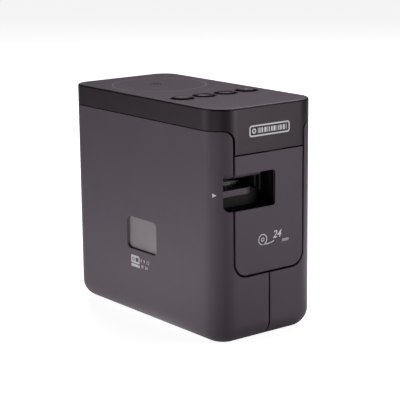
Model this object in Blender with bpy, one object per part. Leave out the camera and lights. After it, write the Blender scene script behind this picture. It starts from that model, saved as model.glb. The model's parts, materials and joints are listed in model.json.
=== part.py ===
"""A desktop label maker: a compact upright printer that prints, cuts and feeds out adhesive label tape.

Frame: +Z up, the front faces -Y, the tape compartment cover is on the left at -X. The origin is the centre
of the footprint on the table. Every length is in metres and every angle in degrees.

The casing pieces are all cut from one thin rounded shell, so that they share its surface and differ only in
where their seams run. Behind them an upright wall carries the tape cassette on its left side, and the gears,
motors and circuit board on its right side. The batteries lie below it.
"""

import math

import bmesh
import bpy
from mathutils import Matrix, Vector

# ---------------------------------------------------------------- driving dimensions
WIDTH = 0.078
DEPTH = 0.152
HEIGHT = 0.143
WALL = 0.0022
FRONT_RADIUS = 0.0153      # upright edges, seen from above
REAR_RADIUS = 0.0123
BOTTOM_RADIUS = 0.0117     # edge all round the underside
TOP_RADIUS = 0.0013        # edge all round the top
SMALL_RADIUS = 0.0004      # corners that are all but sharp
FOOT_CLEARANCE = 0.0008    # underside of the casing above the table
GAP = 0.0003               # smallest gap between two pieces
SEAM = 0.0005              # width of an ordinary seam in the casing
GROOVE = 0.0009            # wider groove round the front panel

HALF_W = WIDTH / 2
HALF_D = DEPTH / 2
FAR = 0.2                  # past the casing in any direction

LID_SEAM_Z = 0.130         # between the top cover and the side shells
PANEL_HALF_W = 0.0267      # middle of the grooves beside the front panel
PANEL_TOP_Z = 0.1153       # seam between the top cover's apron and the front panel
PANEL_BOTTOM_Z = 0.0422
PANEL_RADIUS = 0.009
SHOULDER_RADIUS = 0.006    # rounded top front corner of each side shell
UNDER_SEAM_X = -0.0256     # edge of the left cover, under the machine and at its rear
FLANGE_DEPTH = 0.010       # how far the left cover's front flange wraps under the machine

EXIT_LEFT, EXIT_RIGHT = -0.0328, 0.0044
EXIT_BOTTOM, EXIT_TOP = 0.0824, 0.1038
LIP_SLOPE = 0.0018         # rise of the sloped edge over the slot, from the wall's inside to its outside
LIP_SLOPE_RIGHT = -0.0068  # where the slope ends
FRONT_CUT_Y = -0.055       # cutters for the front face reach no further back than this
WINDOW_Y = (-0.0152, 0.0160)
WINDOW_Z = (0.0454, 0.0662)
WINDOW_RADIUS = 0.0035

HINGE_X, HINGE_Y = -0.0228, 0.0736
HINGE_BARREL_R = 0.0024
HINGE_PIN_R = 0.0010
HINGE_HOLE_R = 0.0014
COVER_KNUCKLES = ((0.0140, 0.0420), (0.0600, 0.0840), (0.1020, 0.1294))
HOUSING_KNUCKLES = ((0.0424, 0.0596), (0.0844, 0.1016))
HINGE_SLOT_EDGE = -0.0198  # edge of the housing's rear wall beside the hinge

BUTTON_XS = (-0.0249, -0.0083, 0.0083, 0.0249)
BUTTON_Y = -0.025
BUTTON_R = 0.0054
BUTTON_HOLE_R = 0.0062
BUTTON_PROUD = (0.0009, 0.0001, 0.0001, 0.0009)

BATTERY_X = 0.003          # middle of the battery bay
BATTERY_COVER_HALF_W = 0.0238
BATTERY_COVER_FRONT = -0.054
BATTERY_COVER_TOP = 0.013
CELL_R, CELL_LENGTH, CELL_PITCH = 0.0071, 0.0500, 0.0152
CELL_Z, CELL_NUB = 0.0122, 0.0014
CELL_ROWS = (-0.0525, 0.0025)          # front end of each row
TRAY_HALF_W, TRAY_HALF_D, TRAY_TOP, TRAY_WALL = 0.0250, 0.0556, 0.0215, 0.0014

CHASSIS_FLOOR_Z = 0.0240
CHASSIS_TOP_Z = 0.1240
PLATE = 0.0018
WALL_X = (-0.0010, 0.0010)             # the upright wall
BAY_X = -0.0345
BAY_Y = (-0.0482, 0.0442)
BAY_Z = (0.0328, 0.1072)

TAPE_Z = 0.0956
TAPE_THICKNESS = 0.0003
TAPE_X = (-0.0310, -0.0070)
CASSETTE_X = (-0.0330, -0.0020)
CASSETTE_WALL = 0.0014
ROLL_X = (CASSETTE_X[0] + 0.0032, CASSETTE_X[1] - CASSETTE_WALL - 0.0012)
MODULE = 0.0008
GEAR_X = (0.0026, 0.0061)
BRACKET_X = (0.0076, 0.0088)
PLATEN_R, PLATEN_SHAFT_R = 0.0054, 0.0015
PLATEN = (-0.0330, TAPE_Z + TAPE_THICKNESS / 2 + GAP + PLATEN_R)     # (y, z)
TEETH = {"platen": 20, "idler": 30, "motor": 12, "ribbon_idler": 22, "ribbon": 20, "sector": 40, "cutter": 10}
TAPE_ROLL = (0.0170, 0.0760)
RIBBON_SUPPLY = (0.0200, 0.0450)

CUTTER_PIVOT = (0.0020, 0.0980)        # (x, z)
CUTTER_PIN_R = 0.0014
CUTTER_REACH = 0.0350                  # from the pivot to the tip of the lever and blade
CUTTER_SWING = 14.0
CUTTER_MESH_ANGLE = -25.0              # from the pivot to the cutter pinion
FRAME_Y = (-0.0553, -0.0542)
FIXED_BLADE_Y = (-0.0570, -0.0556)
MOVING_BLADE_Y = (-0.0585, -0.0573)
LEVER_Y = (-0.0603, -0.0588)
EXIT_GUIDE_Y = (-0.0715, -0.0608)

BOARD_X = (0.0310, 0.0326)
BOARD_CHIPS = (((0.0150, 0.0290), (0.0700, 0.0840), 0.0014), ((0.0150, 0.0250), (0.0900, 0.0980), 0.0012),
               ((0.0340, 0.0520), (0.0900, 0.1120), 0.0028), ((-0.0300, -0.0220), (0.0480, 0.0560), 0.0014))

USB_X, USB_Z = (0.0180, 0.0262), (0.0330, 0.0374)
DC_X, DC_Z, DC_R = 0.0221, 0.0480, 0.0038
SOCKETS_REAR_Y = 0.0735                # the open faces of both sockets, just inside the rear wall
FOOT_SIZE = (0.0030, 0.0240)
FOOT_POCKET_Z = 0.0018
FEET = ((-0.0233, -0.044), (-0.0233, 0.040), (0.0312, -0.044), (0.0312, 0.040))
CHASSIS_POSTS = ((0.0312, -0.0605), (0.0312, 0.0580), (-0.0190, -0.0605))
LID_POSTS = ((0.0270, -0.0560), (-0.0270, 0.0560))
POST_HOLE_R, SCREW_HEAD_R, SCREW_HEAD_H = 0.0013, 0.0024, 0.0014
LIP_Z = (0.0902, 0.0942)               # the shelf that the label slides over, inside the exit
LIP_RIGHT = -0.0066
TAPE_SLOT_X = (-0.0315, -0.0065)
MESH_ANGLES = {"idler": -53.13, "motor": 36.87, "ribbon_idler": -67.38, "ribbon": -90.0}
AXLE_R, MOTOR_SHAFT_R, SPINDLE_R, CUTTER_SHAFT_R = 0.0012, 0.0010, 0.0022, 0.0010
WALL_HOLES = {"platen": 0.0018, "idler": 0.0015, "ribbon_idler": 0.0015, "ribbon": 0.0025}
BRACKET_PILLARS = ((0.0026, 0.0480), (0.0030, 0.1100), (-0.0390, 0.1108))

ARC_STEPS = 7
ROUND = 32
SHARP = 35                             # edges that turn by more than this are shaded sharp


# ---------------------------------------------------------------- building blocks
def clear_scene():
    for old in list(bpy.data.objects):
        bpy.data.objects.remove(old, do_unlink=True)


def material(name, colour, roughness, metallic=0.0):
    made = bpy.data.materials.get(name)
    if made is None:
        made = bpy.data.materials.new(name)
        made.use_nodes = True
        shader = made.node_tree.nodes["Principled BSDF"]
        shader.inputs["Base Color"].default_value = (*colour, 1.0)
        shader.inputs["Roughness"].default_value = roughness
        shader.inputs["Metallic"].default_value = metallic
    return made


def casing_plastic():
    return material("casing_plastic", (0.070, 0.065, 0.070), 0.5)


def dark_plastic():
    return material("dark_plastic", (0.030, 0.028, 0.030), 0.5)


def frame_plastic():
    return material("frame_plastic", (0.12, 0.12, 0.13), 0.6)


def pale_plastic():
    return material("pale_plastic", (0.75, 0.75, 0.73), 0.45)


def gear_plastic():
    return material("gear_plastic", (0.82, 0.81, 0.76), 0.45)


def steel():
    return material("steel", (0.62, 0.62, 0.63), 0.3, 1.0)


def rubber():
    return material("rubber", (0.05, 0.05, 0.05), 0.85)


def tape():
    return material("tape", (0.85, 0.85, 0.83), 0.35)


def circuit_board():
    return material("circuit_board", (0.03, 0.16, 0.07), 0.5)


def mesh_object(name, verts, faces, look=None):
    """A mesh object from points. With no look it is a cutter or a guide, and isn't rendered."""
    mesh = bpy.data.meshes.new(name)
    mesh.from_pydata([tuple(v) for v in verts], [], faces)
    edit = bmesh.new()
    edit.from_mesh(mesh)
    bmesh.ops.recalc_face_normals(edit, faces=edit.faces[:])
    edit.to_mesh(mesh)
    edit.free()
    mesh.shade_smooth()
    mesh.set_sharp_from_angle(angle=math.radians(SHARP))
    made = bpy.data.objects.new(name, mesh)
    bpy.context.scene.collection.objects.link(made)
    if look is None:
        made.hide_render = True
        made.display_type = "WIRE"
    else:
        mesh.materials.append(look)
    return made


def loft(name, rings, look=None):
    """A closed solid through rings of equally many points, capped at both ends."""
    count = len(rings[0])
    verts = [p for ring in rings for p in ring]
    faces = [tuple(range(count)), tuple((len(rings) - 1) * count + i for i in reversed(range(count)))]
    for level in range(len(rings) - 1):
        low, high = level * count, (level + 1) * count
        for i in range(count):
            j = (i + 1) % count
            faces.append((low + i, high + i, high + j, low + j))
    return mesh_object(name, verts, faces, look)


def prism(name, outline, axis, span, look=None):
    """The outline, in the two axes other than axis and in their order, drawn out along axis over span."""
    place = {
        "x": lambda a, b, c: (c, a, b),
        "y": lambda a, b, c: (a, c, b),
        "z": lambda a, b, c: (a, b, c),
    }[axis]
    return loft(name, [[place(a, b, c) for a, b in outline] for c in span], look)


def block(name, x, y, z, look=None):
    return prism(name, [(x[0], y[0]), (x[1], y[0]), (x[1], y[1]), (x[0], y[1])], "z", z, look)


def circle(centre, radius, steps=ROUND):
    return arc(centre, radius, 0, 360, steps)[:-1]


def disc(name, centre, radius, axis, span, look=None, steps=ROUND):
    return prism(name, circle(centre, radius, steps), axis, span, look)


def arc(centre, radius, start, end, steps=ARC_STEPS):
    """Points from angle start to angle end, both included."""
    found = []
    for i in range(steps + 1):
        angle = math.radians(start + (end - start) * i / steps)
        found.append((centre[0] + radius * math.cos(angle), centre[1] + radius * math.sin(angle)))
    return found


def rounded_rectangle(a, b, radii, steps=ARC_STEPS):
    """Outline over the spans a and b. The corners' radii start at low a, low b and go counterclockwise."""
    corners = (
        (a[0], b[0], 1, 1, 180),
        (a[1], b[0], -1, 1, 270),
        (a[1], b[1], -1, -1, 0),
        (a[0], b[1], 1, -1, 90),
    )
    outline = []
    for (ca, cb, inward_a, inward_b, start), r in zip(corners, radii):
        if r > 0:
            outline += arc((ca + inward_a * r, cb + inward_b * r), r, start, start + 90, steps)
        else:
            outline.append((ca, cb))
    return outline


def boolean(target, other, operation):
    change = target.modifiers.new(f"{operation.lower()}_{other.name}", "BOOLEAN")
    change.operation = operation
    change.object = other
    change.solver = "EXACT"
    return target


def cut(target, *cutters):
    for cutter in cutters:
        boolean(target, cutter, "DIFFERENCE")
    return target


def add(target, *others):
    for other in others:
        boolean(target, other, "UNION")
    return target


def hang_on_joint(axis_point, *pieces):
    """Parents moving pieces to an empty on their joint's axis, without moving them."""
    pivot = bpy.data.objects.new(f"{pieces[0].name}_pivot", None)
    bpy.context.scene.collection.objects.link(pivot)
    pivot.location = axis_point
    for piece in pieces:
        piece.parent = pivot
        piece.matrix_parent_inverse = Matrix.Translation(-Vector(axis_point))
    return pivot


# ---------------------------------------------------------------- casing
def casing_ring(z, inset):
    """Plan outline of the casing at height z, moved in by inset."""
    span_x = (-HALF_W + inset, HALF_W - inset)
    span_y = (-HALF_D + inset, HALF_D - inset)
    front, rear = max(FRONT_RADIUS - inset, SMALL_RADIUS), max(REAR_RADIUS - inset, SMALL_RADIUS)
    return [(x, y, z) for x, y in rounded_rectangle(span_x, span_y, (front, front, rear, rear))]


def casing_solid(name, offset):
    """The whole casing as one solid, with its faces moved in by offset."""
    rings = []
    for i in range(ARC_STEPS):
        angle = math.radians(90 * i / (ARC_STEPS - 1))
        reach = BOTTOM_RADIUS - (BOTTOM_RADIUS - offset) * math.sin(angle)
        height = FOOT_CLEARANCE + BOTTOM_RADIUS - (BOTTOM_RADIUS - offset) * math.cos(angle)
        rings.append(casing_ring(height, reach))
    if offset:
        rings.append(casing_ring(HEIGHT - offset, offset))
    else:
        for angle in (0, 45, 90):
            t = math.radians(angle)
            rings.append(casing_ring(HEIGHT - TOP_RADIUS * (1 - math.sin(t)), TOP_RADIUS * (1 - math.cos(t))))
    return loft(name, rings)


def casing_piece(name, region, cutters):
    """The part of the hollow casing that lies inside region, less the cutters."""
    piece = casing_solid(name, 0.0)
    piece.hide_render = False
    piece.display_type = "TEXTURED"
    piece.data.materials.append(casing_plastic())
    boolean(piece, bpy.data.objects["casing_hollow"], "DIFFERENCE")
    boolean(piece, region, "INTERSECT")
    return cut(piece, *cutters)


def front_zone_outline(half_w, bottom, top, shoulder_z, radius, shoulder_radius):
    """Front view of panel and apron: rounded at the bottom, flared round the side shells' top corners."""
    right = arc((half_w - radius, bottom + radius), radius, 270, 360)
    centre = (half_w + shoulder_radius, shoulder_z - shoulder_radius)
    right += arc(centre, shoulder_radius, 180, 90)
    right.append((centre[0], top))
    return right + [(-x, z) for x, z in reversed(right)]


def make_casing_helpers():
    casing_solid("casing_hollow", WALL)
    outline = front_zone_outline(PANEL_HALF_W + GROOVE / 2, PANEL_BOTTOM_Z - GROOVE / 2, FAR,
                                 LID_SEAM_Z - SEAM / 2, PANEL_RADIUS + GROOVE / 2, SHOULDER_RADIUS)
    prism("front_zone", outline, "y", (-FAR, FRONT_CUT_Y))
    radii = (0.004, 0.002, 0.002, 0.0015)
    opening = rounded_rectangle((EXIT_LEFT, EXIT_RIGHT), (EXIT_BOTTOM, EXIT_TOP), radii)
    exit_opening = prism("exit_opening", opening, "y", (-FAR, FRONT_CUT_Y))
    # Over the slot the opening's upper edge slopes up and out: the wall that stays is inside this frustum.
    rings = [casing_ring(EXIT_TOP - LIP_SLOPE * inset / WALL, inset) for inset in (2 * WALL, -WALL)]
    slope = loft("exit_slope", rings)
    beyond = block("exit_slope_end", (LIP_SLOPE_RIGHT, FAR), (-FAR, FAR), (0.0, FAR))
    cut(exit_opening, cut(slope, beyond))


def hinge_knuckles(owner, spans, tab_x):
    """Barrels on the hinge line, each with a tab to the rear wall that carries it."""
    centre = (HINGE_X, HINGE_Y)
    # The tabs stop just short of the wall's outer face, so that no faces coincide.
    tab_y = (HALF_D - WALL, HALF_D - 0.00002)
    for i, span in enumerate(spans):
        barrel = disc(f"{owner.name}_barrel_{i}", centre, HINGE_BARREL_R, "z", span, steps=16)
        add(owner, block(f"{owner.name}_tab_{i}", tab_x, tab_y, span), barrel)
    pin_hole = disc(f"{owner.name}_pin_hole", centre, HINGE_HOLE_R, "z", (0.010, 0.140), steps=12)
    return cut(owner, pin_hole)


def left_cover():
    """The tape compartment cover: left side, half of the lower front, and both left upright edges."""
    region = block("left_region", (-FAR, UNDER_SEAM_X), (-FAR, FAR), (-FAR, LID_SEAM_Z - SEAM / 2))
    flange_y = (-FAR, -HALF_D + FLANGE_DEPTH)
    add(region, block("left_flange", (-FAR, -SEAM / 2), flange_y, (-FAR, LID_SEAM_Z - SEAM / 2)))
    window_outline = rounded_rectangle(WINDOW_Y, WINDOW_Z, (WINDOW_RADIUS,) * 4)
    window = prism("window_opening", window_outline, "x", (-FAR, -0.030))
    cutters = [bpy.data.objects["front_zone"], bpy.data.objects["exit_opening"], window]
    cover = casing_piece("left_cover", region, cutters)
    hinge_knuckles(cover, COVER_KNUCKLES, (UNDER_SEAM_X - 0.001, HINGE_X))
    return add(cover, block("latch_hook", (-0.0372, -0.0352), (-0.0560, -0.0500), (0.1120, 0.1160)))


def cassette_window():
    """Clear pane inside the left cover, behind its window opening."""
    lip, thickness = 0.0022, 0.0010
    span_y = (WINDOW_Y[0] - lip, WINDOW_Y[1] + lip)
    span_z = (WINDOW_Z[0] - lip, WINDOW_Z[1] + lip)
    outer = -HALF_W + WALL + GAP
    outline = rounded_rectangle(span_y, span_z, (WINDOW_RADIUS,) * 4, 4)
    clear = material("clear_pane", (0.6, 0.6, 0.6), 0.1)
    return prism("cassette_window", outline, "x", (outer, outer + thickness), clear)


def right_housing():
    """The fixed shell: right side, rear, underside and the right half of the lower front."""
    span_z = (-FAR, LID_SEAM_Z - SEAM / 2)
    region = block("right_region", (UNDER_SEAM_X + GAP, FAR), (-HALF_D + FLANGE_DEPTH + GAP, FAR), span_z)
    add(region, block("right_flange", (SEAM / 2, FAR), (-FAR, 0.0), span_z))
    opening_x = (BATTERY_X - BATTERY_COVER_HALF_W - GAP, BATTERY_X + BATTERY_COVER_HALF_W + GAP)
    opening_y = (BATTERY_COVER_FRONT - GAP, FAR)
    battery = block("battery_opening", opening_x, opening_y, (-FAR, BATTERY_COVER_TOP + GAP))
    slot = block("hinge_slot", (-0.030, HINGE_SLOT_EDGE), (HINGE_Y - 0.0042, FAR), (-FAR, FAR))
    sockets = [
        prism("usb_cut", rounded_rectangle(USB_X, USB_Z, (0.0008,) * 4, 2), "y", (0.070, FAR)),
        disc("dc_cut", (DC_X, DC_Z), DC_R, "y", (0.070, FAR), steps=20),
    ]
    housing = casing_piece("right_housing", region, [bpy.data.objects["front_zone"], battery, slot, *sockets])
    hinge_knuckles(housing, HOUSING_KNUCKLES, (HINGE_X, HINGE_SLOT_EDGE + 0.001))
    for i, (x, y) in enumerate(CHASSIS_POSTS):
        add(housing, disc(f"post_{i}", (x, y), 0.0030, "z", (0.0026, CHASSIS_FLOOR_Z - GAP), steps=12))
        cut(housing, disc(f"post_hole_{i}", (x, y), POST_HOLE_R, "z", (0.0, 0.030), steps=8))
        cut(housing, disc(f"post_sink_{i}", (x, y), 0.0028, "z", (0.0, 0.0027), steps=12))
    for i, (x, y) in enumerate(FEET):
        cut(housing, prism(f"foot_pocket_{i}", foot_outline(x, y, GAP), "z", (-0.01, FOOT_POCKET_Z)))
    return housing


def foot_outline(x, y, grow=0.0):
    half_x, half_y = FOOT_SIZE[0] / 2 + grow, FOOT_SIZE[1] / 2 + grow
    return rounded_rectangle((x - half_x, x + half_x), (y - half_y, y + half_y), (half_x * 0.98,) * 4, 4)


def top_cover():
    """The top, its band, and the apron down the front to the panel seam. Two posts screw to the chassis."""
    region = block("lid_region", (-FAR, FAR), (-FAR, FAR), (LID_SEAM_Z + SEAM / 2, FAR))
    apron = front_zone_outline(PANEL_HALF_W - GROOVE / 2, PANEL_TOP_Z + SEAM / 2, LID_SEAM_Z + 0.004,
                               LID_SEAM_Z + SEAM / 2, SMALL_RADIUS, SHOULDER_RADIUS + GROOVE / 2)
    add(region, prism("apron_region", apron, "y", (-FAR, FRONT_CUT_Y)))
    holes = []
    for i, x in enumerate(BUTTON_XS):
        holes.append(disc(f"button_hole_{i}", (x, BUTTON_Y), BUTTON_HOLE_R, "z", (LID_SEAM_Z, FAR)))
    lid = casing_piece("top_cover", region, holes)
    for i, (x, y) in enumerate(LID_POSTS):
        post_z = (CHASSIS_TOP_Z + GAP, HEIGHT - WALL / 2)
        add(lid, disc(f"lid_post_{i}", (x, y), 0.0028, "z", post_z, steps=12))
        cut(lid, disc(f"lid_post_hole_{i}", (x, y), POST_HOLE_R, "z", (0.120, 0.1362), steps=8))
    return lid


def front_panel():
    """Plate over the label exit, between the two side shells."""
    half_w = PANEL_HALF_W - GROOVE / 2
    radius = PANEL_RADIUS - GROOVE / 2
    span_z = (PANEL_BOTTOM_Z + GROOVE / 2, PANEL_TOP_Z - SEAM / 2)
    outline = rounded_rectangle((-half_w, half_w), span_z, (radius, radius, SMALL_RADIUS, SMALL_RADIUS))
    region = prism("panel_region", outline, "y", (-FAR, FRONT_CUT_Y))
    return casing_piece("front_panel", region, [bpy.data.objects["exit_opening"]])


def battery_cover():
    """Slides off rearwards: the middle of the underside and the bottom of the rear wall."""
    span_x = (BATTERY_X - BATTERY_COVER_HALF_W, BATTERY_X + BATTERY_COVER_HALF_W)
    region = block("battery_region", span_x, (BATTERY_COVER_FRONT, FAR), (-FAR, BATTERY_COVER_TOP))
    return casing_piece("battery_cover", region, [])


def hinge_pin():
    top, bottom = COVER_KNUCKLES[-1][1] - 0.001, COVER_KNUCKLES[0][0] + 0.001
    return disc("hinge_pin", (HINGE_X, HINGE_Y), HINGE_PIN_R, "z", (bottom, top), steel(), 12)


def rubber_feet():
    for i, (x, y) in enumerate(FEET):
        prism(f"foot_{i + 1}", foot_outline(x, y), "z", (0.0, FOOT_POCKET_Z - GAP), rubber())


# ---------------------------------------------------------------- buttons and the boards under the top cover
def button(name, x, proud):
    """A cap in its hole, with a flange that keeps it in and a stem down to its switch."""
    top, edge = HEIGHT + proud, 0.0005
    stem_r, flange_r, flange_z = 0.0015, 0.0073, (0.1392, 0.1404)
    profile = [(stem_r, 0.1372), (stem_r, flange_z[0]), (flange_r, flange_z[0]), (flange_r, flange_z[1]),
               (BUTTON_R, flange_z[1]), (BUTTON_R, top - edge), (BUTTON_R - edge, top)]
    rings = [[(a, b, z) for a, b in circle((x, BUTTON_Y), r, 24)] for r, z in profile]
    cap = loft(name, rings, casing_plastic())
    hang_on_joint((x, BUTTON_Y, top), cap)
    return cap


def button_board():
    """Board with four tact switches, held under the top cover."""
    half_switch = 0.003
    switch_y = (BUTTON_Y - half_switch, BUTTON_Y + half_switch)
    board = block("button_board", (-0.0335, 0.0335), (-0.0310, -0.0190), (0.1308, 0.1320), circuit_board())
    for i, x in enumerate(BUTTON_XS):
        body = block(f"switch_body_{i}", (x - half_switch, x + half_switch), switch_y, (0.1316, 0.1350))
        plunger = disc(f"switch_plunger_{i}", (x, BUTTON_Y), 0.0016, "z", (0.1348, 0.1359), steps=12)
        add(board, body, plunger)
    return board


def antenna_board():
    """Contactless antenna: a thin square board with its coil, under the ring on the top cover."""
    board = block("antenna_board", (-0.0240, 0.0240), (0.0080, 0.0560), (0.1380, 0.1388), circuit_board())
    return cut(board, disc("antenna_window", (0.0, 0.032), 0.013, "z", (0.13, 0.15)))


# ---------------------------------------------------------------- chassis
def chassis():
    """Moulded frame: upright wall, cassette bay open to the left, floor over the batteries, top flange."""
    front, rear = -0.0540, 0.0620
    frame = block("chassis", WALL_X, (front, rear), (CHASSIS_FLOOR_Z, CHASSIS_TOP_Z), frame_plastic())
    floor_z, flange_z = (CHASSIS_FLOOR_Z, CHASSIS_FLOOR_Z + PLATE), (CHASSIS_TOP_Z - PLATE, CHASSIS_TOP_Z)
    floor = block("chassis_floor", (BAY_X, 0.0340), (-0.0630, rear), floor_z)
    flange = block("chassis_flange", (-0.0310, 0.0310), (-0.0630, rear), flange_z)
    bay_y, bay_z = (BAY_Y[0] - PLATE, BAY_Y[1] + PLATE), (BAY_Z[0] - PLATE, BAY_Z[1] + PLATE)
    bay = block("bay_outside", (BAY_X, 0.0), bay_y, bay_z)
    add(frame, floor, flange, bay)
    cut(frame, block("bay_inside", (-FAR, WALL_X[0]), BAY_Y, BAY_Z))
    cut(frame, block("tape_gate", (-FAR, WALL_X[0]), (-0.0600, BAY_Y[0] + 0.001), (0.0780, FAR)))
    cut(frame, block("platen_gate", (-FAR, WALL_X[0]), (-0.0415, -0.0245), (0.1000, bay_z[1] + 0.001)))
    cut(frame, block("flange_gap", (-0.0220, 0.0220), (-0.0330, -0.0170), (0.1200, 0.1300)))
    for name, centre in gear_centres().items():
        if name != "motor":
            cut(frame, disc(f"wall_hole_{name}", centre, WALL_HOLES[name], "x", (-0.004, 0.004), steps=16))
    for i, (x, y) in enumerate(CHASSIS_POSTS):
        cut(frame, disc(f"floor_hole_{i}", (x, y), 0.0015, "z", (0.020, 0.030), steps=10))
    for i, (x, y) in enumerate(LID_POSTS):
        cut(frame, disc(f"flange_hole_{i}", (x, y), 0.0015, "z", (0.118, 0.130), steps=10))
    return frame


def roller_holder():
    """Bracket over the cassette's head notch: two ears carry the platen shaft."""
    y, z = PLATEN
    bar_z = (BAY_Z[1] + 0.0005, BAY_Z[1] + 0.0023)
    holder = block("roller_holder", (-0.0350, -0.0013), (y - 0.0070, y + 0.0070), bar_z, frame_plastic())
    ear_r, ear_top = 0.0035, bar_z[1] - 0.0002
    ear = arc((y, z), ear_r, 180, 360, 8) + [(y + ear_r, ear_top), (y - ear_r, ear_top)]
    for i, span in enumerate(((-0.0350, -0.0336), (-0.0032, -0.0018))):
        add(holder, prism(f"holder_ear_{i}", ear, "x", span))
    return cut(holder, disc("holder_bore", PLATEN, PLATEN_SHAFT_R + GAP, "x", (-0.040, 0.0), steps=16))


def exit_guide():
    """Dark moulding behind the label exit: a finger recess, the lip that the label slides over, a slot."""
    margin, back_wall, root = 0.0006, 0.0016, EXIT_GUIDE_Y[1] - 0.0008
    guide_left, lip_front, lip_end_r = -0.0336, EXIT_GUIDE_Y[0] + 0.0015, 0.004
    guide = block("exit_guide", (guide_left, 0.0150), EXIT_GUIDE_Y, (0.0790, 0.1072), dark_plastic())
    pocket_z = (EXIT_BOTTOM - margin, EXIT_TOP + margin)
    pocket = rounded_rectangle((-FAR, EXIT_RIGHT + margin), pocket_z, (0.0, 0.002, 0.002, 0.0))
    cut(guide, prism("exit_pocket", pocket, "y", (-FAR, EXIT_GUIDE_Y[1] - back_wall)))
    cut(guide, block("exit_slot", (-FAR, -0.0075), (-FAR, FAR), (LIP_Z[1] - 0.0004, pocket_z[1])))
    lip_end = arc((LIP_RIGHT - lip_end_r, lip_front + lip_end_r), lip_end_r, 270, 360, 6)
    lip = [(guide_left, root), (guide_left, lip_front), *lip_end, (LIP_RIGHT, root)]
    add(guide, prism("exit_lip", lip, "z", LIP_Z))
    for i, (x, low) in enumerate(((-0.0062, LIP_Z[1]), (-0.0025, 0.0915))):
        add(guide, block(f"exit_rib_{i}", (x - 0.0004, x + 0.0004), (-0.0700, root), (low, EXIT_TOP + 0.001)))
    return boolean(guide, casing_solid("guide_limit", WALL + 0.0005), "INTERSECT")


# ---------------------------------------------------------------- tape cassette
def cassette_outline(inset=0.0):
    """Side view, (y, z): a block with a notch in its top for the print head, and an arm in front of it."""
    rear, front, bottom, top = 0.0420 - inset, -0.0465 + inset, 0.0350 + inset, 0.1050 - inset
    notch_rear, notch_front = -0.0250 + inset, -0.0410 - inset
    notch_floor, arm_top = 0.0780 - inset, TAPE_Z - TAPE_THICKNESS / 2 - GAP - inset
    r = 0.003 - inset
    outline = arc((rear - r, bottom + r), r, 270, 360, 3) + arc((rear - r, top - r), r, 0, 90, 3)
    outline += [(notch_rear, top), (notch_rear, notch_floor)]
    outline += [(notch_front, notch_floor), (notch_front, arm_top)]
    return outline + [(front, arm_top)] + arc((front + r, bottom + r), r, 180, 270, 3)


def cassette_case():
    floor_x = (CASSETTE_X[1] - CASSETTE_WALL, CASSETTE_X[1])
    span = (CASSETTE_X[0] + 0.0018, CASSETTE_X[1])
    case = prism("cassette_case", cassette_outline(), "x", span, pale_plastic())
    hollow = prism("cassette_hollow", cassette_outline(CASSETTE_WALL), "x", (-FAR, floor_x[0]))
    tape_slot = block("cassette_slot", TAPE_SLOT_X, (-0.030, -0.020), (TAPE_Z - 0.0012, TAPE_Z + 0.0012))
    spindle_hole = disc("case_spindle_hole", gear_centres()["ribbon"], 0.0034, "x", (-0.008, 0.0), steps=16)
    return cut(case, hollow, tape_slot, spindle_hole)


def cassette_lid():
    """Flat cover of the cassette, with a round hole over each spool's hub."""
    span = (CASSETTE_X[0], CASSETTE_X[0] + 0.0015)
    lid = prism("cassette_lid", cassette_outline(), "x", span, pale_plastic())
    for name, centre, radius in (("tape", TAPE_ROLL, 0.0060), ("take_up", gear_centres()["ribbon"], 0.0042)):
        cut(lid, disc(f"lid_hole_{name}", centre, radius, "x", (-FAR, -0.020), steps=20))
    return lid


def spool(name, centre, radius, hub_r, bore_r, look):
    """Wound core: a wide roll of tape or ribbon on a hub that reaches into the cassette's lid."""
    roll = disc(name, centre, radius, "x", ROLL_X, look)
    hub_span = (CASSETTE_X[0] + 0.0005, ROLL_X[1] + 0.0002)
    add(roll, disc(f"{name}_hub", centre, hub_r, "x", hub_span, steps=20))
    return cut(roll, disc(f"{name}_bore", centre, bore_r, "x", (-FAR, FAR), steps=16))


def tape_roll():
    return spool("tape_roll", TAPE_ROLL, 0.0220, 0.0054, 0.0036, tape())


def ribbon_spools():
    look = material("ribbon", (0.02, 0.02, 0.02), 0.3)
    supply = disc("ribbon_supply_spool", RIBBON_SUPPLY, 0.0075, "x", ROLL_X, look, 24)
    cut(supply, disc("supply_bore", RIBBON_SUPPLY, 0.0030, "x", (-FAR, FAR), steps=12))
    take_up = spool("ribbon_take_up_spool", gear_centres()["ribbon"], 0.0088, 0.0038, 0.0028, look)
    return supply, take_up


def label_tape():
    """Free end of the tape, from the cassette's slot over the head to the cutter."""
    span_z = (TAPE_Z - TAPE_THICKNESS / 2, TAPE_Z + TAPE_THICKNESS / 2)
    return block("label_tape", TAPE_X, (-0.0571, -0.0252), span_z, tape())


# ---------------------------------------------------------------- print head and platen
def print_head():
    top = TAPE_Z - TAPE_THICKNESS / 2 - GAP
    profile = [(-0.0352, 0.0840), (-0.0312, 0.0840), (-0.0312, top - 0.001), (-0.0322, top), (-0.0338, top),
               (-0.0352, top - 0.0014)]
    return prism("print_head", profile, "x", (-0.0305, -0.0040), material("ceramic", (0.5, 0.48, 0.44), 0.35))


def head_heat_sink():
    """Aluminium plate behind the head, on a foot against the upright wall, with fins behind it."""
    look = material("aluminium", (0.7, 0.7, 0.71), 0.35, 1.0)
    sink = block("head_heat_sink", (-0.0305, -0.0013), (-0.0309, -0.0289), (0.0800, 0.0930), look)
    for i in range(6):
        x = -0.0290 + i * 0.0045
        add(sink, block(f"fin_{i}", (x, x + 0.0012), (-0.0295, -0.0262), (0.0800, 0.0925)))
    return sink


def platen_parts():
    shaft = disc("platen_shaft", PLATEN, PLATEN_SHAFT_R, "x", (-0.0356, BRACKET_X[1] + 0.0004), steel(), 16)
    roller = disc("platen_roller", PLATEN, PLATEN_R, "x", (-0.0325, -0.0040), rubber())
    cut(roller, disc("roller_bore", PLATEN, PLATEN_SHAFT_R + GAP, "x", (-FAR, FAR), steps=16))
    return shaft, roller


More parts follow.
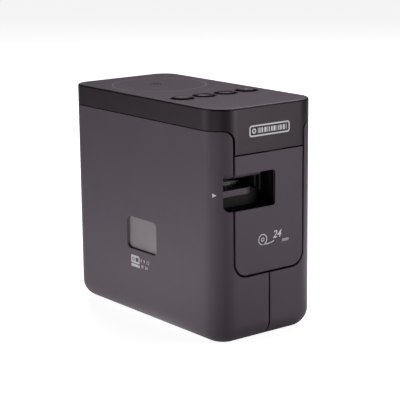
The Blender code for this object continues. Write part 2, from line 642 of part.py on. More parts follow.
# ---------------------------------------------------------------- gears
def gear_centres():
    """(y, z) of each gear in the feed train, placed pitch circle to pitch circle."""
    def step(start, a, b, direction):
        reach = MODULE * (TEETH[a] + TEETH[b]) / 2
        angle = math.radians(direction)
        return start[0] + reach * math.cos(angle), start[1] + reach * math.sin(angle)

    centres = {"platen": PLATEN}
    centres["idler"] = step(PLATEN, "platen", "idler", MESH_ANGLES["idler"])
    centres["motor"] = step(centres["idler"], "idler", "motor", MESH_ANGLES["motor"])
    centres["ribbon_idler"] = step(centres["idler"], "idler", "ribbon_idler", MESH_ANGLES["ribbon_idler"])
    centres["ribbon"] = step(centres["ribbon_idler"], "ribbon_idler", "ribbon", MESH_ANGLES["ribbon"])
    return centres


def meshed_phase(phase, teeth, mate_teeth, direction):
    """Turn, in degrees, that makes the teeth of a mate that lies in direction mesh with a gear at phase."""
    total = (phase - direction) * teeth
    return (180 - total) / mate_teeth + direction + 180


def gear_outline(teeth, centre, phase, first=0, last=None):
    """Spur gear outline with three points on each flank. A sector has only the teeth from first to last."""
    pitch, pressure, backlash = MODULE * teeth / 2, math.radians(20), 0.00012
    base = pitch * math.cos(pressure)
    radii = (pitch - 1.25 * MODULE, pitch, pitch + 0.95 * MODULE)

    def half_angle(radius):
        lean = math.acos(min(1.0, base / max(radius, base)))
        half_tooth = math.pi / (2 * teeth) - backlash / (2 * pitch)
        return half_tooth + (math.tan(pressure) - pressure) - (math.tan(lean) - lean)

    flank = [(r, half_angle(r)) for r in radii]
    points = []
    for tooth in range(first, teeth if last is None else last + 1):
        middle = math.radians(phase) + tooth * 2 * math.pi / teeth
        for radius, half in flank:
            points.append((radius, middle - half))
        for radius, half in reversed(flank):
            points.append((radius, middle + half))
    return [(centre[0] + r * math.cos(t), centre[1] + r * math.sin(t)) for r, t in points]


def spur_gear(name, teeth, centre, phase, bore_r, span=GEAR_X, axis="x"):
    gear = prism(name, gear_outline(teeth, centre, phase), axis, span, gear_plastic())
    if bore_r:
        cut(gear, disc(f"{name}_bore", centre, bore_r, axis, (-FAR, FAR), steps=16))
    return gear


def feed_train():
    """The platen gear turns with the platen, and motor pinion and ribbon gear mesh with it through idlers.

    The pinion is one piece with the motor's shaft, and the ribbon gear with its spindle, which reaches
    through the upright wall into the take-up spool.
    """
    centres = gear_centres()
    phases = {"platen": 0.0}
    order = (("idler", "platen"), ("motor", "idler"), ("ribbon_idler", "idler"), ("ribbon", "ribbon_idler"))
    for name, mate in order:
        phases[name] = meshed_phase(phases[mate], TEETH[mate], TEETH[name], MESH_ANGLES[name])
    bores = {"platen": PLATEN_SHAFT_R + GAP, "idler": AXLE_R + GAP, "ribbon_idler": AXLE_R + GAP}
    names = {"platen": "platen_gear", "idler": "idler_gear", "motor": "motor_pinion",
             "ribbon_idler": "ribbon_idler_gear", "ribbon": "ribbon_drive_gear"}
    gears = {}
    for key, name in names.items():
        gears[key] = spur_gear(name, TEETH[key], centres[key], phases[key], bores.get(key, 0.0))
    add(gears["motor"], disc("motor_shaft", centres["motor"], MOTOR_SHAFT_R, "x", (0.0022, 0.0190), steps=12))
    spindle = disc("ribbon_spindle", centres["ribbon"], SPINDLE_R, "x", (-0.0240, 0.0066), steps=16)
    add(gears["ribbon"], spindle)
    return gears


def motor_bracket():
    """Steel plate that carries the feed motor, the two pins that the idlers turn on, and three pillars."""
    centres = gear_centres()
    outline = rounded_rectangle((-0.0420, 0.0060), (0.0420, 0.1130), (0.003,) * 4, 3)
    plate = prism("motor_bracket", outline, "x", BRACKET_X, steel())
    for name, radius in (("platen", PLATEN_SHAFT_R + GAP), ("motor", 0.0025)):
        cut(plate, disc(f"bracket_hole_{name}", centres[name], radius, "x", (0.0, 0.02), steps=16))
    root = BRACKET_X[1] - 0.0002
    for name in ("idler", "ribbon_idler"):
        add(plate, disc(f"axle_{name}", centres[name], AXLE_R, "x", (-0.0009, root), steps=12))
    cut(plate, block("bracket_notch", (0.0, 0.02), (-FAR, -0.0250), (0.0, 0.0900)))
    for i, (y, z) in enumerate(BRACKET_PILLARS):
        add(plate, disc(f"pillar_{i}", (y, z), 0.0022, "x", (WALL_X[1] + GAP, root), steps=12))
    return plate


def feed_motor():
    y, z = gear_centres()["motor"]
    motor = disc("feed_motor", (y, z), 0.0098, "x", (BRACKET_X[1] + GAP, 0.0270), steel(), 28)
    add(motor, disc("feed_motor_cap", (y, z), 0.0060, "x", (0.0265, 0.0290), steps=20))
    return cut(motor, disc("feed_motor_bore", (y, z), MOTOR_SHAFT_R + GAP, "x", (0.0, 0.0200), steps=12))


# ---------------------------------------------------------------- cutter
def cutter_pinion_centre():
    reach = MODULE * (TEETH["sector"] + TEETH["cutter"]) / 2
    angle = math.radians(CUTTER_MESH_ANGLE)
    return CUTTER_PIVOT[0] + reach * math.cos(angle), CUTTER_PIVOT[1] + reach * math.sin(angle)


def cutter_frame():
    """Upright steel plate behind the cutter, with a window for the tape and the lever's pivot pin."""
    through = (-0.06, -0.05)
    frame = block("cutter_frame", (-0.0340, 0.0290), FRAME_Y, (0.0780, 0.1110), steel())
    cut(frame, block("frame_window", (-0.0328, -0.0058), through, (TAPE_Z - 0.0016, TAPE_Z + 0.0060)))
    cut(frame, disc("frame_motor_hole", cutter_pinion_centre(), 0.0020, "y", through, steps=12))
    pin_y = (-0.0606, FRAME_Y[1] - 0.0002)
    return add(frame, disc("pivot_pin", CUTTER_PIVOT, CUTTER_PIN_R, "y", pin_y, steps=12))


def fixed_blade():
    edge = TAPE_Z - TAPE_THICKNESS / 2 - GAP
    profile = [(FIXED_BLADE_Y[0], 0.0850), (FIXED_BLADE_Y[1], 0.0850), (FIXED_BLADE_Y[1], edge - 0.0008),
               (FIXED_BLADE_Y[0], edge)]
    return prism("fixed_blade", profile, "x", (-0.0335, -0.0050), steel())


def open_cutter(piece):
    """Turns a cutter piece, drawn closed, to its open rest position about the pivot."""
    x, z = CUTTER_PIVOT
    turn = Matrix.Translation((x, 0, z)) @ Matrix.Rotation(math.radians(CUTTER_SWING), 4, "Y")
    piece.data.transform(turn @ Matrix.Translation((-x, 0, -z)))
    return piece


def cutter_lever():
    """Arm that carries the moving blade, with a toothed sector on its other end. It is drawn closed."""
    x, z = CUTTER_PIVOT
    outline = [(x - CUTTER_REACH, z + 0.0005), (x - 0.0010, z - 0.0035), (x + 0.0040, z - 0.0035),
               (x + 0.0040, z + 0.0045), (x - CUTTER_REACH, z + 0.0045)]
    lever = open_cutter(prism("cutter_lever", outline, "y", LEVER_Y, steel()))
    teeth = gear_outline(TEETH["sector"], CUTTER_PIVOT, sector_phase(), -2, 3)
    add(lever, prism("lever_sector", [*teeth, (x, z)], "y", LEVER_Y))
    add(lever, disc("lever_boss", CUTTER_PIVOT, 0.0042, "y", LEVER_Y, steps=20))
    return cut(lever, disc("lever_bore", CUTTER_PIVOT, CUTTER_PIN_R + GAP, "y", (-0.07, -0.05), steps=12))


def sector_phase():
    """Turn of the sector's tooth 0 at rest: just past the pinion's direction."""
    return CUTTER_MESH_ANGLE - 9.0


def cutter_pinion():
    """Pinion and motor shaft in one piece."""
    centre = cutter_pinion_centre()
    phase = meshed_phase(sector_phase(), TEETH["sector"], TEETH["cutter"], CUTTER_MESH_ANGLE)
    pinion = spur_gear("cutter_pinion", TEETH["cutter"], centre, phase, 0.0, LEVER_Y, "y")
    shaft_y = (LEVER_Y[0] + 0.0002, -0.0450)
    return add(pinion, disc("cutter_shaft", centre, CUTTER_SHAFT_R, "y", shaft_y, steps=12))


def moving_blade():
    x, z = CUTTER_PIVOT
    tip_x, root_x, low_z, high_z = x - CUTTER_REACH, x - 0.0060, z - 0.0030, z + 0.0030
    outline = [(tip_x, low_z), (root_x, low_z), (root_x, high_z), (tip_x, high_z)]
    return open_cutter(prism("moving_blade", outline, "y", MOVING_BLADE_Y, steel()))


def cutter_motor():
    centre = cutter_pinion_centre()
    motor = disc("cutter_motor", centre, 0.0075, "y", (FRAME_Y[1] + GAP, -0.0330), steel(), 24)
    bore = disc("cutter_motor_bore", centre, CUTTER_SHAFT_R + GAP, "y", (-0.07, -0.0440), steps=12)
    return cut(motor, bore)


# ---------------------------------------------------------------- electronics and batteries
def main_board():
    """Circuit board on the right, with its chips and two tall capacitors soldered to its inner side."""
    board = block("main_board", BOARD_X, (-0.0450, 0.0600), (0.0300, 0.1180), circuit_board())
    face = BOARD_X[0] + 0.0002
    for i, (y, z, height) in enumerate(BOARD_CHIPS):
        add(board, block(f"chip_{i}", (face - height, face), y, z))
    for i, y in enumerate((0.0, 0.0100)):
        add(board, disc(f"capacitor_{i}", (y, 0.0420), 0.0040, "x", (face - 0.0100, face), steps=16))
    return board


def usb_socket():
    """Shielded data socket: a steel shell open to the rear with a tongue inside."""
    y, shell, half_tongue = (0.0640, SOCKETS_REAR_Y), 0.0004, 0.0004
    outer_z, inner_z = (USB_Z[0] - shell, USB_Z[1] + shell), (USB_Z[0] + shell, USB_Z[1] - shell)
    socket = block("usb_socket", (USB_X[0] - shell, USB_X[1] + shell), y, outer_z, steel())
    cut(socket, block("usb_inner", (USB_X[0] + shell, USB_X[1] - shell), (y[0] + 0.0012, FAR), inner_z))
    middle = (USB_Z[0] + USB_Z[1]) / 2
    tongue_x, tongue_y = (USB_X[0] + 0.0020, USB_X[1] - 0.0020), (y[0] + 0.0004, y[1] - 0.0012)
    return add(socket, block("usb_tongue", tongue_x, tongue_y, (middle - half_tongue, middle + half_tongue)))


def dc_jack():
    """Power inlet: a square body with a round bore open to the rear and a pin in its middle."""
    y, half = (0.0600, SOCKETS_REAR_Y), 0.0050
    jack = block("dc_jack", (DC_X - half, DC_X + half), y, (DC_Z - half, DC_Z + half), dark_plastic())
    cut(jack, disc("dc_bore", (DC_X, DC_Z), 0.0030, "y", (y[0] + 0.0030, FAR), steps=20))
    return add(jack, disc("dc_pin", (DC_X, DC_Z), 0.0010, "y", (y[0] + 0.0020, y[1] - 0.0010), steps=12))


def battery_tray():
    """Tray over six cells in two rows of three, open downwards to the battery cover."""
    x = (BATTERY_X - TRAY_HALF_W, BATTERY_X + TRAY_HALF_W)
    bottom = FOOT_CLEARANCE + WALL + GAP
    tray = block("battery_tray", x, (-TRAY_HALF_D, TRAY_HALF_D), (bottom, TRAY_TOP), frame_plastic())
    bay_x, bay_z = (x[0] + TRAY_WALL, x[1] - TRAY_WALL), (-FAR, TRAY_TOP - TRAY_WALL)
    for i, bay_y in enumerate(((-TRAY_HALF_D + TRAY_WALL, -0.0006), (0.0006, TRAY_HALF_D - TRAY_WALL))):
        cut(tray, block(f"cell_bay_{i}", bay_x, bay_y, bay_z))
    return tray


def battery_cells():
    """Six cells, each row's middle one the other way round."""
    nub_r, shoulder = 0.0027, CELL_LENGTH - CELL_NUB
    profile = [(CELL_R, 0.0), (CELL_R, shoulder), (nub_r, shoulder), (nub_r, CELL_LENGTH)]
    for i in range(6):
        row, column = divmod(i, 3)
        x = BATTERY_X + (column - 1) * CELL_PITCH
        start, way = CELL_ROWS[row], 1
        if column == 1:
            start, way = start + CELL_LENGTH, -1
        rings = [[(a, start + way * y, b) for a, b in circle((x, CELL_Z), r, 20)] for r, y in profile]
        loft(f"battery_{i + 1}", rings, material("cell_jacket", (0.25, 0.24, 0.22), 0.35))


# ---------------------------------------------------------------- fasteners
def screw(name, x, y, head_z, tip_z):
    """Pan head screw that points up, from its head's face at head_z to its tip."""
    thread_r, under_head = 0.0010, head_z + SCREW_HEAD_H
    profile = [(SCREW_HEAD_R * 0.8, head_z), (SCREW_HEAD_R, head_z + 0.0004), (SCREW_HEAD_R, under_head),
               (thread_r, under_head), (thread_r, tip_z)]
    return loft(name, [[(a, b, z) for a, b in circle((x, y), r, 12)] for r, z in profile], steel())


def screws():
    """Three go up through the underside into the chassis, and two through its flange into the top cover."""
    for i, (x, y) in enumerate(CHASSIS_POSTS):
        screw(f"case_screw_{i + 1}", x, y, 0.0010, 0.0225)
    for i, (x, y) in enumerate(LID_POSTS):
        screw(f"top_screw_{i + 1}", x, y, CHASSIS_TOP_Z - PLATE - GAP - SCREW_HEAD_H, 0.1340)


def apply_modifiers():
    """Gives each piece its finished mesh with its sharp edges marked, and removes the cutters."""
    graph = bpy.context.evaluated_depsgraph_get()
    solids = [o for o in bpy.context.scene.objects if o.type == "MESH"]
    pieces = [o for o in solids if not o.hide_render]
    meshes = [bpy.data.meshes.new_from_object(piece.evaluated_get(graph)) for piece in pieces]
    for piece, mesh in zip(pieces, meshes):
        piece.modifiers.clear()
        piece.data = mesh
        mesh.shade_smooth()
        mesh.set_sharp_from_angle(angle=math.radians(SHARP))
    for cutter in set(solids) - set(pieces):
        bpy.data.objects.remove(cutter, do_unlink=True)


def main():
    clear_scene()
    make_casing_helpers()
    hinge = (HINGE_X, HINGE_Y, (COVER_KNUCKLES[0][0] + COVER_KNUCKLES[-1][1]) / 2)
    hang_on_joint(hinge, left_cover(), cassette_window())
    right_housing()
    top_cover()
    front_panel()
    hang_on_joint((BATTERY_X, 0.0, FOOT_CLEARANCE), battery_cover())
    hinge_pin()
    rubber_feet()
    for name, x, proud in zip(("power_button", "wireless_button", "pairing_button", "feed_cut_button"),
                              BUTTON_XS, BUTTON_PROUD):
        button(name, x, proud)
    button_board()
    antenna_board()
    chassis()
    roller_holder()
    exit_guide()
    cassette_case()
    cassette_lid()
    label_tape()
    print_head()
    head_heat_sink()
    gears = feed_train()
    centres = {k: (GEAR_X[0], y, z) for k, (y, z) in gear_centres().items()}
    hang_on_joint(centres["platen"], *platen_parts(), gears["platen"])
    hang_on_joint(centres["idler"], gears["idler"])
    hang_on_joint(centres["motor"], gears["motor"])
    hang_on_joint(centres["ribbon_idler"], gears["ribbon_idler"])
    supply, take_up = ribbon_spools()
    hang_on_joint(centres["ribbon"], gears["ribbon"], take_up)
    hang_on_joint((CASSETTE_X[0], *RIBBON_SUPPLY), supply)
    hang_on_joint((CASSETTE_X[0], *TAPE_ROLL), tape_roll())
    motor_bracket()
    feed_motor()
    cutter_frame()
    fixed_blade()
    hang_on_joint((CUTTER_PIVOT[0], LEVER_Y[0], CUTTER_PIVOT[1]), cutter_lever(), moving_blade())
    pinion_x, pinion_z = cutter_pinion_centre()
    hang_on_joint((pinion_x, LEVER_Y[0], pinion_z), cutter_pinion())
    cutter_motor()
    main_board()
    usb_socket()
    dc_jack()
    battery_tray()
    battery_cells()
    screws()
    apply_modifiers()


main()
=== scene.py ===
"""The looks of the label maker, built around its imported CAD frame.

The casing pieces are made again at a finer resolution, with rounded edges, from the same rounded shell and
along the same seams as the CAD pieces. Round inner pieces are turned anew, and the others take their CAD mesh
with rounded edges. The front panel's seams and groove and the gaps round the buttons are up to 0.6 mm wider
than in the CAD. Two button caps have a rim and the window's pane has a plug that the CAD pieces lack.

Everything is in metres in the frame's axes: +Z up, the front at -Y, the tape compartment cover at -X.
"""

import json
import math

import bmesh
import bpy
from mathutils import Matrix, Vector

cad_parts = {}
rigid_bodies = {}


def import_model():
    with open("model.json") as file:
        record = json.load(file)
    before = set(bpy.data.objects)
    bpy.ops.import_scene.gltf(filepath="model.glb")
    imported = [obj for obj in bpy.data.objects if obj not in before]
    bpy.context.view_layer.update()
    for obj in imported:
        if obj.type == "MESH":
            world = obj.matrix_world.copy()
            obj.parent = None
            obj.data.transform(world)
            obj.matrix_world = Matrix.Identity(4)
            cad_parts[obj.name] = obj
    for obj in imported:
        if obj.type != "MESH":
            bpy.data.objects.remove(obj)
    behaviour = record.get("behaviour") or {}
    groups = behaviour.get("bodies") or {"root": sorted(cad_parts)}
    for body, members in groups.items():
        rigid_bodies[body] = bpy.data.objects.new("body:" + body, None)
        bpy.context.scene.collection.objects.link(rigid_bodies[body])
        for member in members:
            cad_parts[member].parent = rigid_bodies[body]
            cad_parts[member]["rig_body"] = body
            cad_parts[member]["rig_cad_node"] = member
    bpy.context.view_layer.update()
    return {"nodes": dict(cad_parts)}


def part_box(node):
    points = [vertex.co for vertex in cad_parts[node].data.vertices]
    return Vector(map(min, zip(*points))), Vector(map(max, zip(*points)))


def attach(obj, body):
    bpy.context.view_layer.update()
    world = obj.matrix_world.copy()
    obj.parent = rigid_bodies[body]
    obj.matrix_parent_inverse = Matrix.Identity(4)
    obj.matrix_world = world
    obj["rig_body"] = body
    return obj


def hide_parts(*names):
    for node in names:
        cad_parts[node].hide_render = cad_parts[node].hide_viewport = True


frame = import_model()

# ---------------------------------------------------------------- sizes
MM = 0.001


def mm(*lengths):
    return tuple(length * MM for length in lengths)


HALF_W, HALF_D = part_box("top_cover")[1].x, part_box("top_cover")[1].y
FOOT_CLEARANCE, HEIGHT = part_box("right_housing")[0].z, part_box("top_cover")[1].z
WALL = 2.2 * MM
FRONT_RADIUS, REAR_RADIUS, BOTTOM_RADIUS, TOP_RADIUS = mm(15.3, 12.3, 11.7, 1.3)
SEAM, PANEL_SEAM, LOW_SEAM, GROOVE, GAP = mm(0.5, 0.8, 1.1, 1.3, 0.3)
EDGE = 0.15 * MM           # rounding of the casing pieces' sharp edges
LID_SEAM_Z, PANEL_TOP_Z, PANEL_BOTTOM_Z = mm(130.0, 115.3, 42.2)
PANEL_HALF_W, PANEL_RADIUS, SHOULDER_RADIUS = mm(26.7, 9.0, 6.0)
UNDER_SEAM_X, FLANGE_DEPTH = mm(-25.6, 10.0)
EXIT_LEFT, EXIT_RIGHT, EXIT_BOTTOM, EXIT_TOP = mm(-32.8, 4.4, 82.4, 103.8)
LIP_SLOPE, LIP_SLOPE_RIGHT = mm(1.8, -6.8)
WINDOW_Y, WINDOW_Z, WINDOW_RADIUS = mm(-15.2, 16.0), mm(45.4, 66.2), 3.5 * MM
HINGE_X, HINGE_Y, HINGE_BARREL_R, HINGE_HOLE_R = mm(-22.8, 73.6, 2.4, 1.4)
COVER_KNUCKLES = (mm(14.0, 42.0), mm(60.0, 84.0), mm(102.0, 129.4))
HOUSING_KNUCKLES = (mm(42.4, 59.6), mm(84.4, 101.6))
HINGE_SLOT_EDGE = -19.8 * MM
BUTTON_R, BUTTON_HOLE_R, BUTTON_DISH = mm(5.4, 6.8, 0.12)
BUTTONS = ("power", "wireless", "pairing", "feed_cut")     # each has a node X_button on a body X_key
FOOT_R = 1.47 * MM
POST_R, LID_POST_R, POST_HOLE_R, SINK_R = mm(3.0, 2.8, 1.3, 2.8)
CASE_SCREWS, TOP_SCREWS = [f"case_screw_{i}" for i in (1, 2, 3)], ["top_screw_1", "top_screw_2"]
FEET, BATTERIES = [f"foot_{i}" for i in (1, 2, 3, 4)], [f"battery_{i}" for i in range(1, 7)]
TURNED_CELLS = ("battery_2", "battery_5")     # the cells with their nub at the front
DC_R = 3.8 * MM
RING_CENTRE, RING_R = mm(-0.5, 31.5), 30.0 * MM
FAR = 0.2                  # beyond every piece
FRONT_DEPTH = (-FAR, -55 * MM)     # how deep the cuts for panel and exit reach
ARC_STEPS = 20
ROUND = 64
BEVEL_ANGLE, SHARP_ANGLE = 32, 40     # degrees: sharper edges get rounded, or stay sharp in the shading
PRINT = 0.02 * MM          # thickness of printed marks
TOUCH = 0.01 * MM          # how far a mark's underside lies inside the surface that it is on


# ---------------------------------------------------------------- mesh building
def link(name, mesh):
    made = bpy.data.objects.new(name, mesh)
    bpy.context.scene.collection.objects.link(made)
    return made


def mesh_object(name, verts, faces):
    mesh = bpy.data.meshes.new(name)
    mesh.from_pydata([tuple(v) for v in verts], [], faces)
    edit = bmesh.new()
    edit.from_mesh(mesh)
    bmesh.ops.recalc_face_normals(edit, faces=edit.faces[:])
    edit.to_mesh(mesh)
    edit.free()
    return link(name, mesh)


def loft(name, rings):
    """A closed solid through rings of equally many points, capped at both ends."""
    count = len(rings[0])
    verts = [p for ring in rings for p in ring]
    faces = [tuple(range(count)), tuple((len(rings) - 1) * count + i for i in reversed(range(count)))]
    for level in range(len(rings) - 1):
        low, high = level * count, (level + 1) * count
        for i in range(count):
            j = (i + 1) % count
            faces.append((low + i, high + i, high + j, low + j))
    return mesh_object(name, verts, faces)


def placed(axis, a, b, along):
    """The point at a and b on the two other axes, in their order, and at along on axis."""
    return {"x": (along, a, b), "y": (a, along, b), "z": (a, b, along)}[axis]


def prism(name, outline, axis, span):
    return loft(name, [[placed(axis, a, b, along) for a, b in outline] for along in span])


def block(name, x, y, z):
    return prism(name, [(x[0], y[0]), (x[1], y[0]), (x[1], y[1]), (x[0], y[1])], "z", z)


def arc(centre, radius, start, end, steps=ARC_STEPS):
    found = []
    for i in range(steps + 1):
        angle = math.radians(start + (end - start) * i / steps)
        found.append((centre[0] + radius * math.cos(angle), centre[1] + radius * math.sin(angle)))
    return found


def circle(centre, radius, steps=ROUND):
    return arc(centre, radius, 0, 360, steps)[:-1]


def disc(name, centre, radius, axis, span, steps=ROUND):
    return prism(name, circle(centre, radius, steps), axis, span)


def rounded_rectangle(a, b, radii, steps=12):
    """Outline over the spans a and b, with one radius, or four from low a, low b counterclockwise."""
    corners = ((a[0], b[0], 1, 1, 180), (a[1], b[0], -1, 1, 270),
               (a[1], b[1], -1, -1, 0), (a[0], b[1], 1, -1, 90))
    radii = radii if isinstance(radii, tuple) else (radii,) * 4
    outline = []
    for (ca, cb, inward_a, inward_b, start), r in zip(corners, radii):
        if r > 0:
            outline += arc((ca + inward_a * r, cb + inward_b * r), r, start, start + 90, steps)
        else:
            outline.append((ca, cb))
    return outline


def slab(name, a, b, radii, axis, span, steps=12):
    """Rounded rectangle over the spans a and b, carried along the axis over its span."""
    return prism(name, rounded_rectangle(a, b, radii, steps), axis, span)


def grown(span, by):
    return span[0] - by, span[1] + by


def around(middle, half):
    return middle - half, middle + half


def turned_rings(centre, axis, profile, steps):
    return [[placed(axis, a, b, along) for a, b in circle(centre, r, steps)] for r, along in profile]


def turned(name, centre, axis, profile, steps=ROUND):
    """A solid of revolution about a line along axis. profile is (radius, place along axis) end to end."""
    return loft(name, turned_rings(centre, axis, profile, steps))


def rounded_profile(radius, low, high, edge, steps=4):
    """Profile of a plain turned drum with both its edges rounded."""
    lower = [(radius - edge + a, low + edge - b) for b, a in arc((0, 0), edge, 0, 90, steps)]
    upper = [(r, low + high - along) for r, along in reversed(lower)]
    return lower + upper


def boolean(target, other, operation):
    change = target.modifiers.new(operation.lower(), "BOOLEAN")
    change.operation = operation
    change.object = other
    change.solver = "EXACT"
    return target


def cut(target, *cutters):
    for cutter in cutters:
        boolean(target, cutter, "DIFFERENCE")
    return target


def add(target, *others):
    for other in others:
        boolean(target, other, "UNION")
    return target


def finish_mesh(obj, edge, segments):
    """Applies obj's modifiers, rounds its sharp edges by edge, and shades what is left by its face sizes."""
    if edge:
        bevel = obj.modifiers.new("edges", "BEVEL")
        bevel.width, bevel.segments = edge, segments
        bevel.limit_method, bevel.angle_limit = "ANGLE", math.radians(BEVEL_ANGLE)
        bevel.use_clamp_overlap = False
    graph = bpy.context.evaluated_depsgraph_get()
    mesh = bpy.data.meshes.new_from_object(obj.evaluated_get(graph))
    obj.modifiers.clear()
    obj.data = mesh
    mesh.shade_smooth()
    mesh.set_sharp_from_angle(angle=math.radians(SHARP_ANGLE))
    obj.modifiers.new("normals", "WEIGHTED_NORMAL").keep_sharp = True


PIECES = []


def register(obj, look, node=None, body="base"):
    """Registers a piece as it is: its material, and either its CAD node or its body."""
    obj.data.materials.clear()
    obj.data.materials.append(LOOKS[look])
    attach(obj, frame["nodes"][node]["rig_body"] if node else body)
    if node:
        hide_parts(node)
    PIECES.append(obj)
    return obj


def piece(obj, look, node=None, edge=0.0, segments=2):
    """Finishes a solid and registers it."""
    finish_mesh(obj, edge, segments)
    return register(obj, look, node)


def centre_of(node, axis):
    """Middle of a CAD node's box, on the two axes other than axis."""
    low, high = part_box(node)
    return tuple((low[i] + high[i]) / 2 for i in range(3) if i != "xyz".index(axis))


def span_of(node, axis):
    return tuple(corner["xyz".index(axis)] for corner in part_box(node))


def spans_of(node):
    return [span_of(node, axis) for axis in "xyz"]


def paint(obj, look, test):
    """Gives look to the faces of obj that pass test, which gets a face's centre and its normal."""
    obj.data.materials.append(LOOKS[look])
    index = len(obj.data.materials) - 1
    for face in obj.data.polygons:
        if test(face.center, face.normal):
            face.material_index = index
    return obj


def drop_helpers():
    """Removes the cutters: every mesh that is neither a piece nor a CAD node nor part of the stage."""
    for obj in list(bpy.context.scene.objects):
        if obj.type == "MESH" and obj not in PIECES and "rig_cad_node" not in obj and not obj.get("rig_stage"):
            bpy.data.objects.remove(obj, do_unlink=True)


# ---------------------------------------------------------------- materials
def put(node, **values):
    """Sets a node's inputs. An underscore in a key stands for a space."""
    for key, value in values.items():
        node.inputs[key.replace("_", " ")].default_value = value


def new_look(name, roughness, metallic=0.0, specular=0.5):
    look = bpy.data.materials.new(name)
    look.use_nodes = True
    nodes, links = look.node_tree.nodes, look.node_tree.links
    shader = nodes["Principled BSDF"]
    put(shader, Roughness=roughness, Metallic=metallic, Specular_IOR_Level=specular)
    return look, nodes, links, shader


def texture(look, kind, scale, **settings):
    """A texture node fed with the mesh's coordinates in metres, so that scale counts features per metre."""
    nodes, links = look.node_tree.nodes, look.node_tree.links
    places = nodes.get("places")
    if places is None:
        places = nodes.new("ShaderNodeTexCoord")
        places.name = "places"
    found = nodes.new(f"ShaderNodeTex{kind}")
    put(found, Scale=scale, **settings)
    links.new(places.outputs["Object"], found.inputs["Vector"])
    return found


def noise(look, scale, detail, **settings):
    return texture(look, "Noise", scale, Detail=detail, **settings).outputs["Fac"]


def colour_by(look, source, low, high, span=(0.3, 0.7)):
    """Blends the surface between two colours by source's value over span."""
    nodes, links = look.node_tree.nodes, look.node_tree.links
    made = nodes.new("ShaderNodeValToRGB")
    for end, place, colour in zip(made.color_ramp.elements, span, (low, high)):
        end.position, end.color = place, (*colour, 1.0)
    links.new(source, made.inputs["Fac"])
    links.new(made.outputs["Color"], nodes["Principled BSDF"].inputs["Base Color"])


def gloss_by(look, source, low, high):
    """Maps source's 0 to 1 onto roughnesses from low to high."""
    nodes, links = look.node_tree.nodes, look.node_tree.links
    made = nodes.new("ShaderNodeMapRange")
    put(made, To_Min=low, To_Max=high)
    links.new(source, made.inputs["Value"])
    links.new(made.outputs["Result"], nodes["Principled BSDF"].inputs["Roughness"])


def bump(look, height, depth, base=None):
    """Bumps the shader's surface by height times depth, in metres, on top of the bump that base gives."""
    nodes, links = look.node_tree.nodes, look.node_tree.links
    made = nodes.new("ShaderNodeBump")
    put(made, Strength=1.0, Distance=depth)
    links.new(height, made.inputs["Height"])
    if base is not None:
        links.new(base, made.inputs["Normal"])
    links.new(made.outputs["Normal"], nodes["Principled BSDF"].inputs["Normal"])
    return made.outputs["Normal"]


def shades(colour, *shares):
    return [tuple(c * share for c in colour) for share in shares]


def moulded(name, colour, roughness, grain=0.012, specular=0.5, vary=0.06, tint=(1.0, 1.0, 1.0)):
    """Moulded plastic: an even spark-eroded grain in mm, and a faint unevenness of gloss and colour."""
    look, nodes, links, shader = new_look(name, roughness, specular=specular)
    put(shader, Specular_Tint=(*tint, 1.0))
    broad, fine = noise(look, 45, 3.0, Roughness=0.55), noise(look, 3200, 2.0, Roughness=0.6)
    cells = texture(look, "Voronoi", 1900)
    cells.feature = "SMOOTH_F1"
    colour_by(look, broad, *shades(colour, 1 - vary, 1 + vary))
    mixed = nodes.new("ShaderNodeMath")
    mixed.operation = "MULTIPLY_ADD"
    mixed.inputs[1].default_value = 0.35
    links.new(broad, mixed.inputs[0])
    links.new(fine, mixed.inputs[2])
    gloss_by(look, mixed.outputs[0], roughness - 0.10, roughness + 0.06)
    first = bump(look, fine, grain * MM)
    bump(look, cells.outputs["Distance"], grain * MM * 0.8, first)
    return look


def stretched(look, found, **settings):
    """Feeds the texture node found through a mapping of the mesh's coordinates."""
    nodes, links = look.node_tree.nodes, look.node_tree.links
    mapping = nodes.new("ShaderNodeMapping")
    put(mapping, **settings)
    links.new(nodes["places"].outputs["Object"], mapping.inputs["Vector"])
    links.new(mapping.outputs["Vector"], found.inputs["Vector"])


def brushed(name, colour, roughness, along="Z"):
    """Rolled or turned metal: fine streaks along one axis, and faint blotches."""
    look, _, _, shader = new_look(name, roughness, metallic=1.0)
    put(shader, Anisotropic=0.4)
    streaks = texture(look, "Noise", 5000, Detail=3.0)
    stretched(look, streaks, Scale=[0.03 if axis == along else 1.0 for axis in "XYZ"])
    colour_by(look, noise(look, 150, 4.0), *shades(colour, 0.86, 1.05))
    gloss_by(look, streaks.outputs["Fac"], roughness - 0.1, roughness + 0.14)
    bump(look, streaks.outputs["Fac"], 0.004 * MM)
    return look


def film(name, grain, colours, gloss, depth, span=(0.3, 0.7), roughness=0.3, specular=0.5, alpha=1.0):
    """Thin glossy film. One noise, given by scale and detail, varies its colour and gloss and crinkles it."""
    look, _, _, shader = new_look(name, roughness, specular=specular)
    put(shader, Alpha=alpha)
    found = noise(look, *grain)
    colour_by(look, found, *colours, span)
    gloss_by(look, found, *gloss)
    bump(look, found, depth * MM)
    return look


def board_look():
    """Green solder mask with darker copper runs under it."""
    look, _, links, shader = new_look("circuit_board", 0.35)
    runs = texture(look, "Brick", 170, Mortar_Size=0.03, Brick_Width=0.8, Row_Height=0.31,
                   Color1=(0.012, 0.085, 0.035, 1), Color2=(0.016, 0.105, 0.045, 1),
                   Mortar=(0.035, 0.19, 0.08, 1))
    stretched(look, runs, Rotation=(0, math.radians(90), math.radians(90)))
    links.new(runs.outputs["Color"], shader.inputs["Base Color"])
    gloss_by(look, noise(look, 900, 3.0), 0.26, 0.42)
    bump(look, runs.outputs["Fac"], 0.02 * MM)
    return look


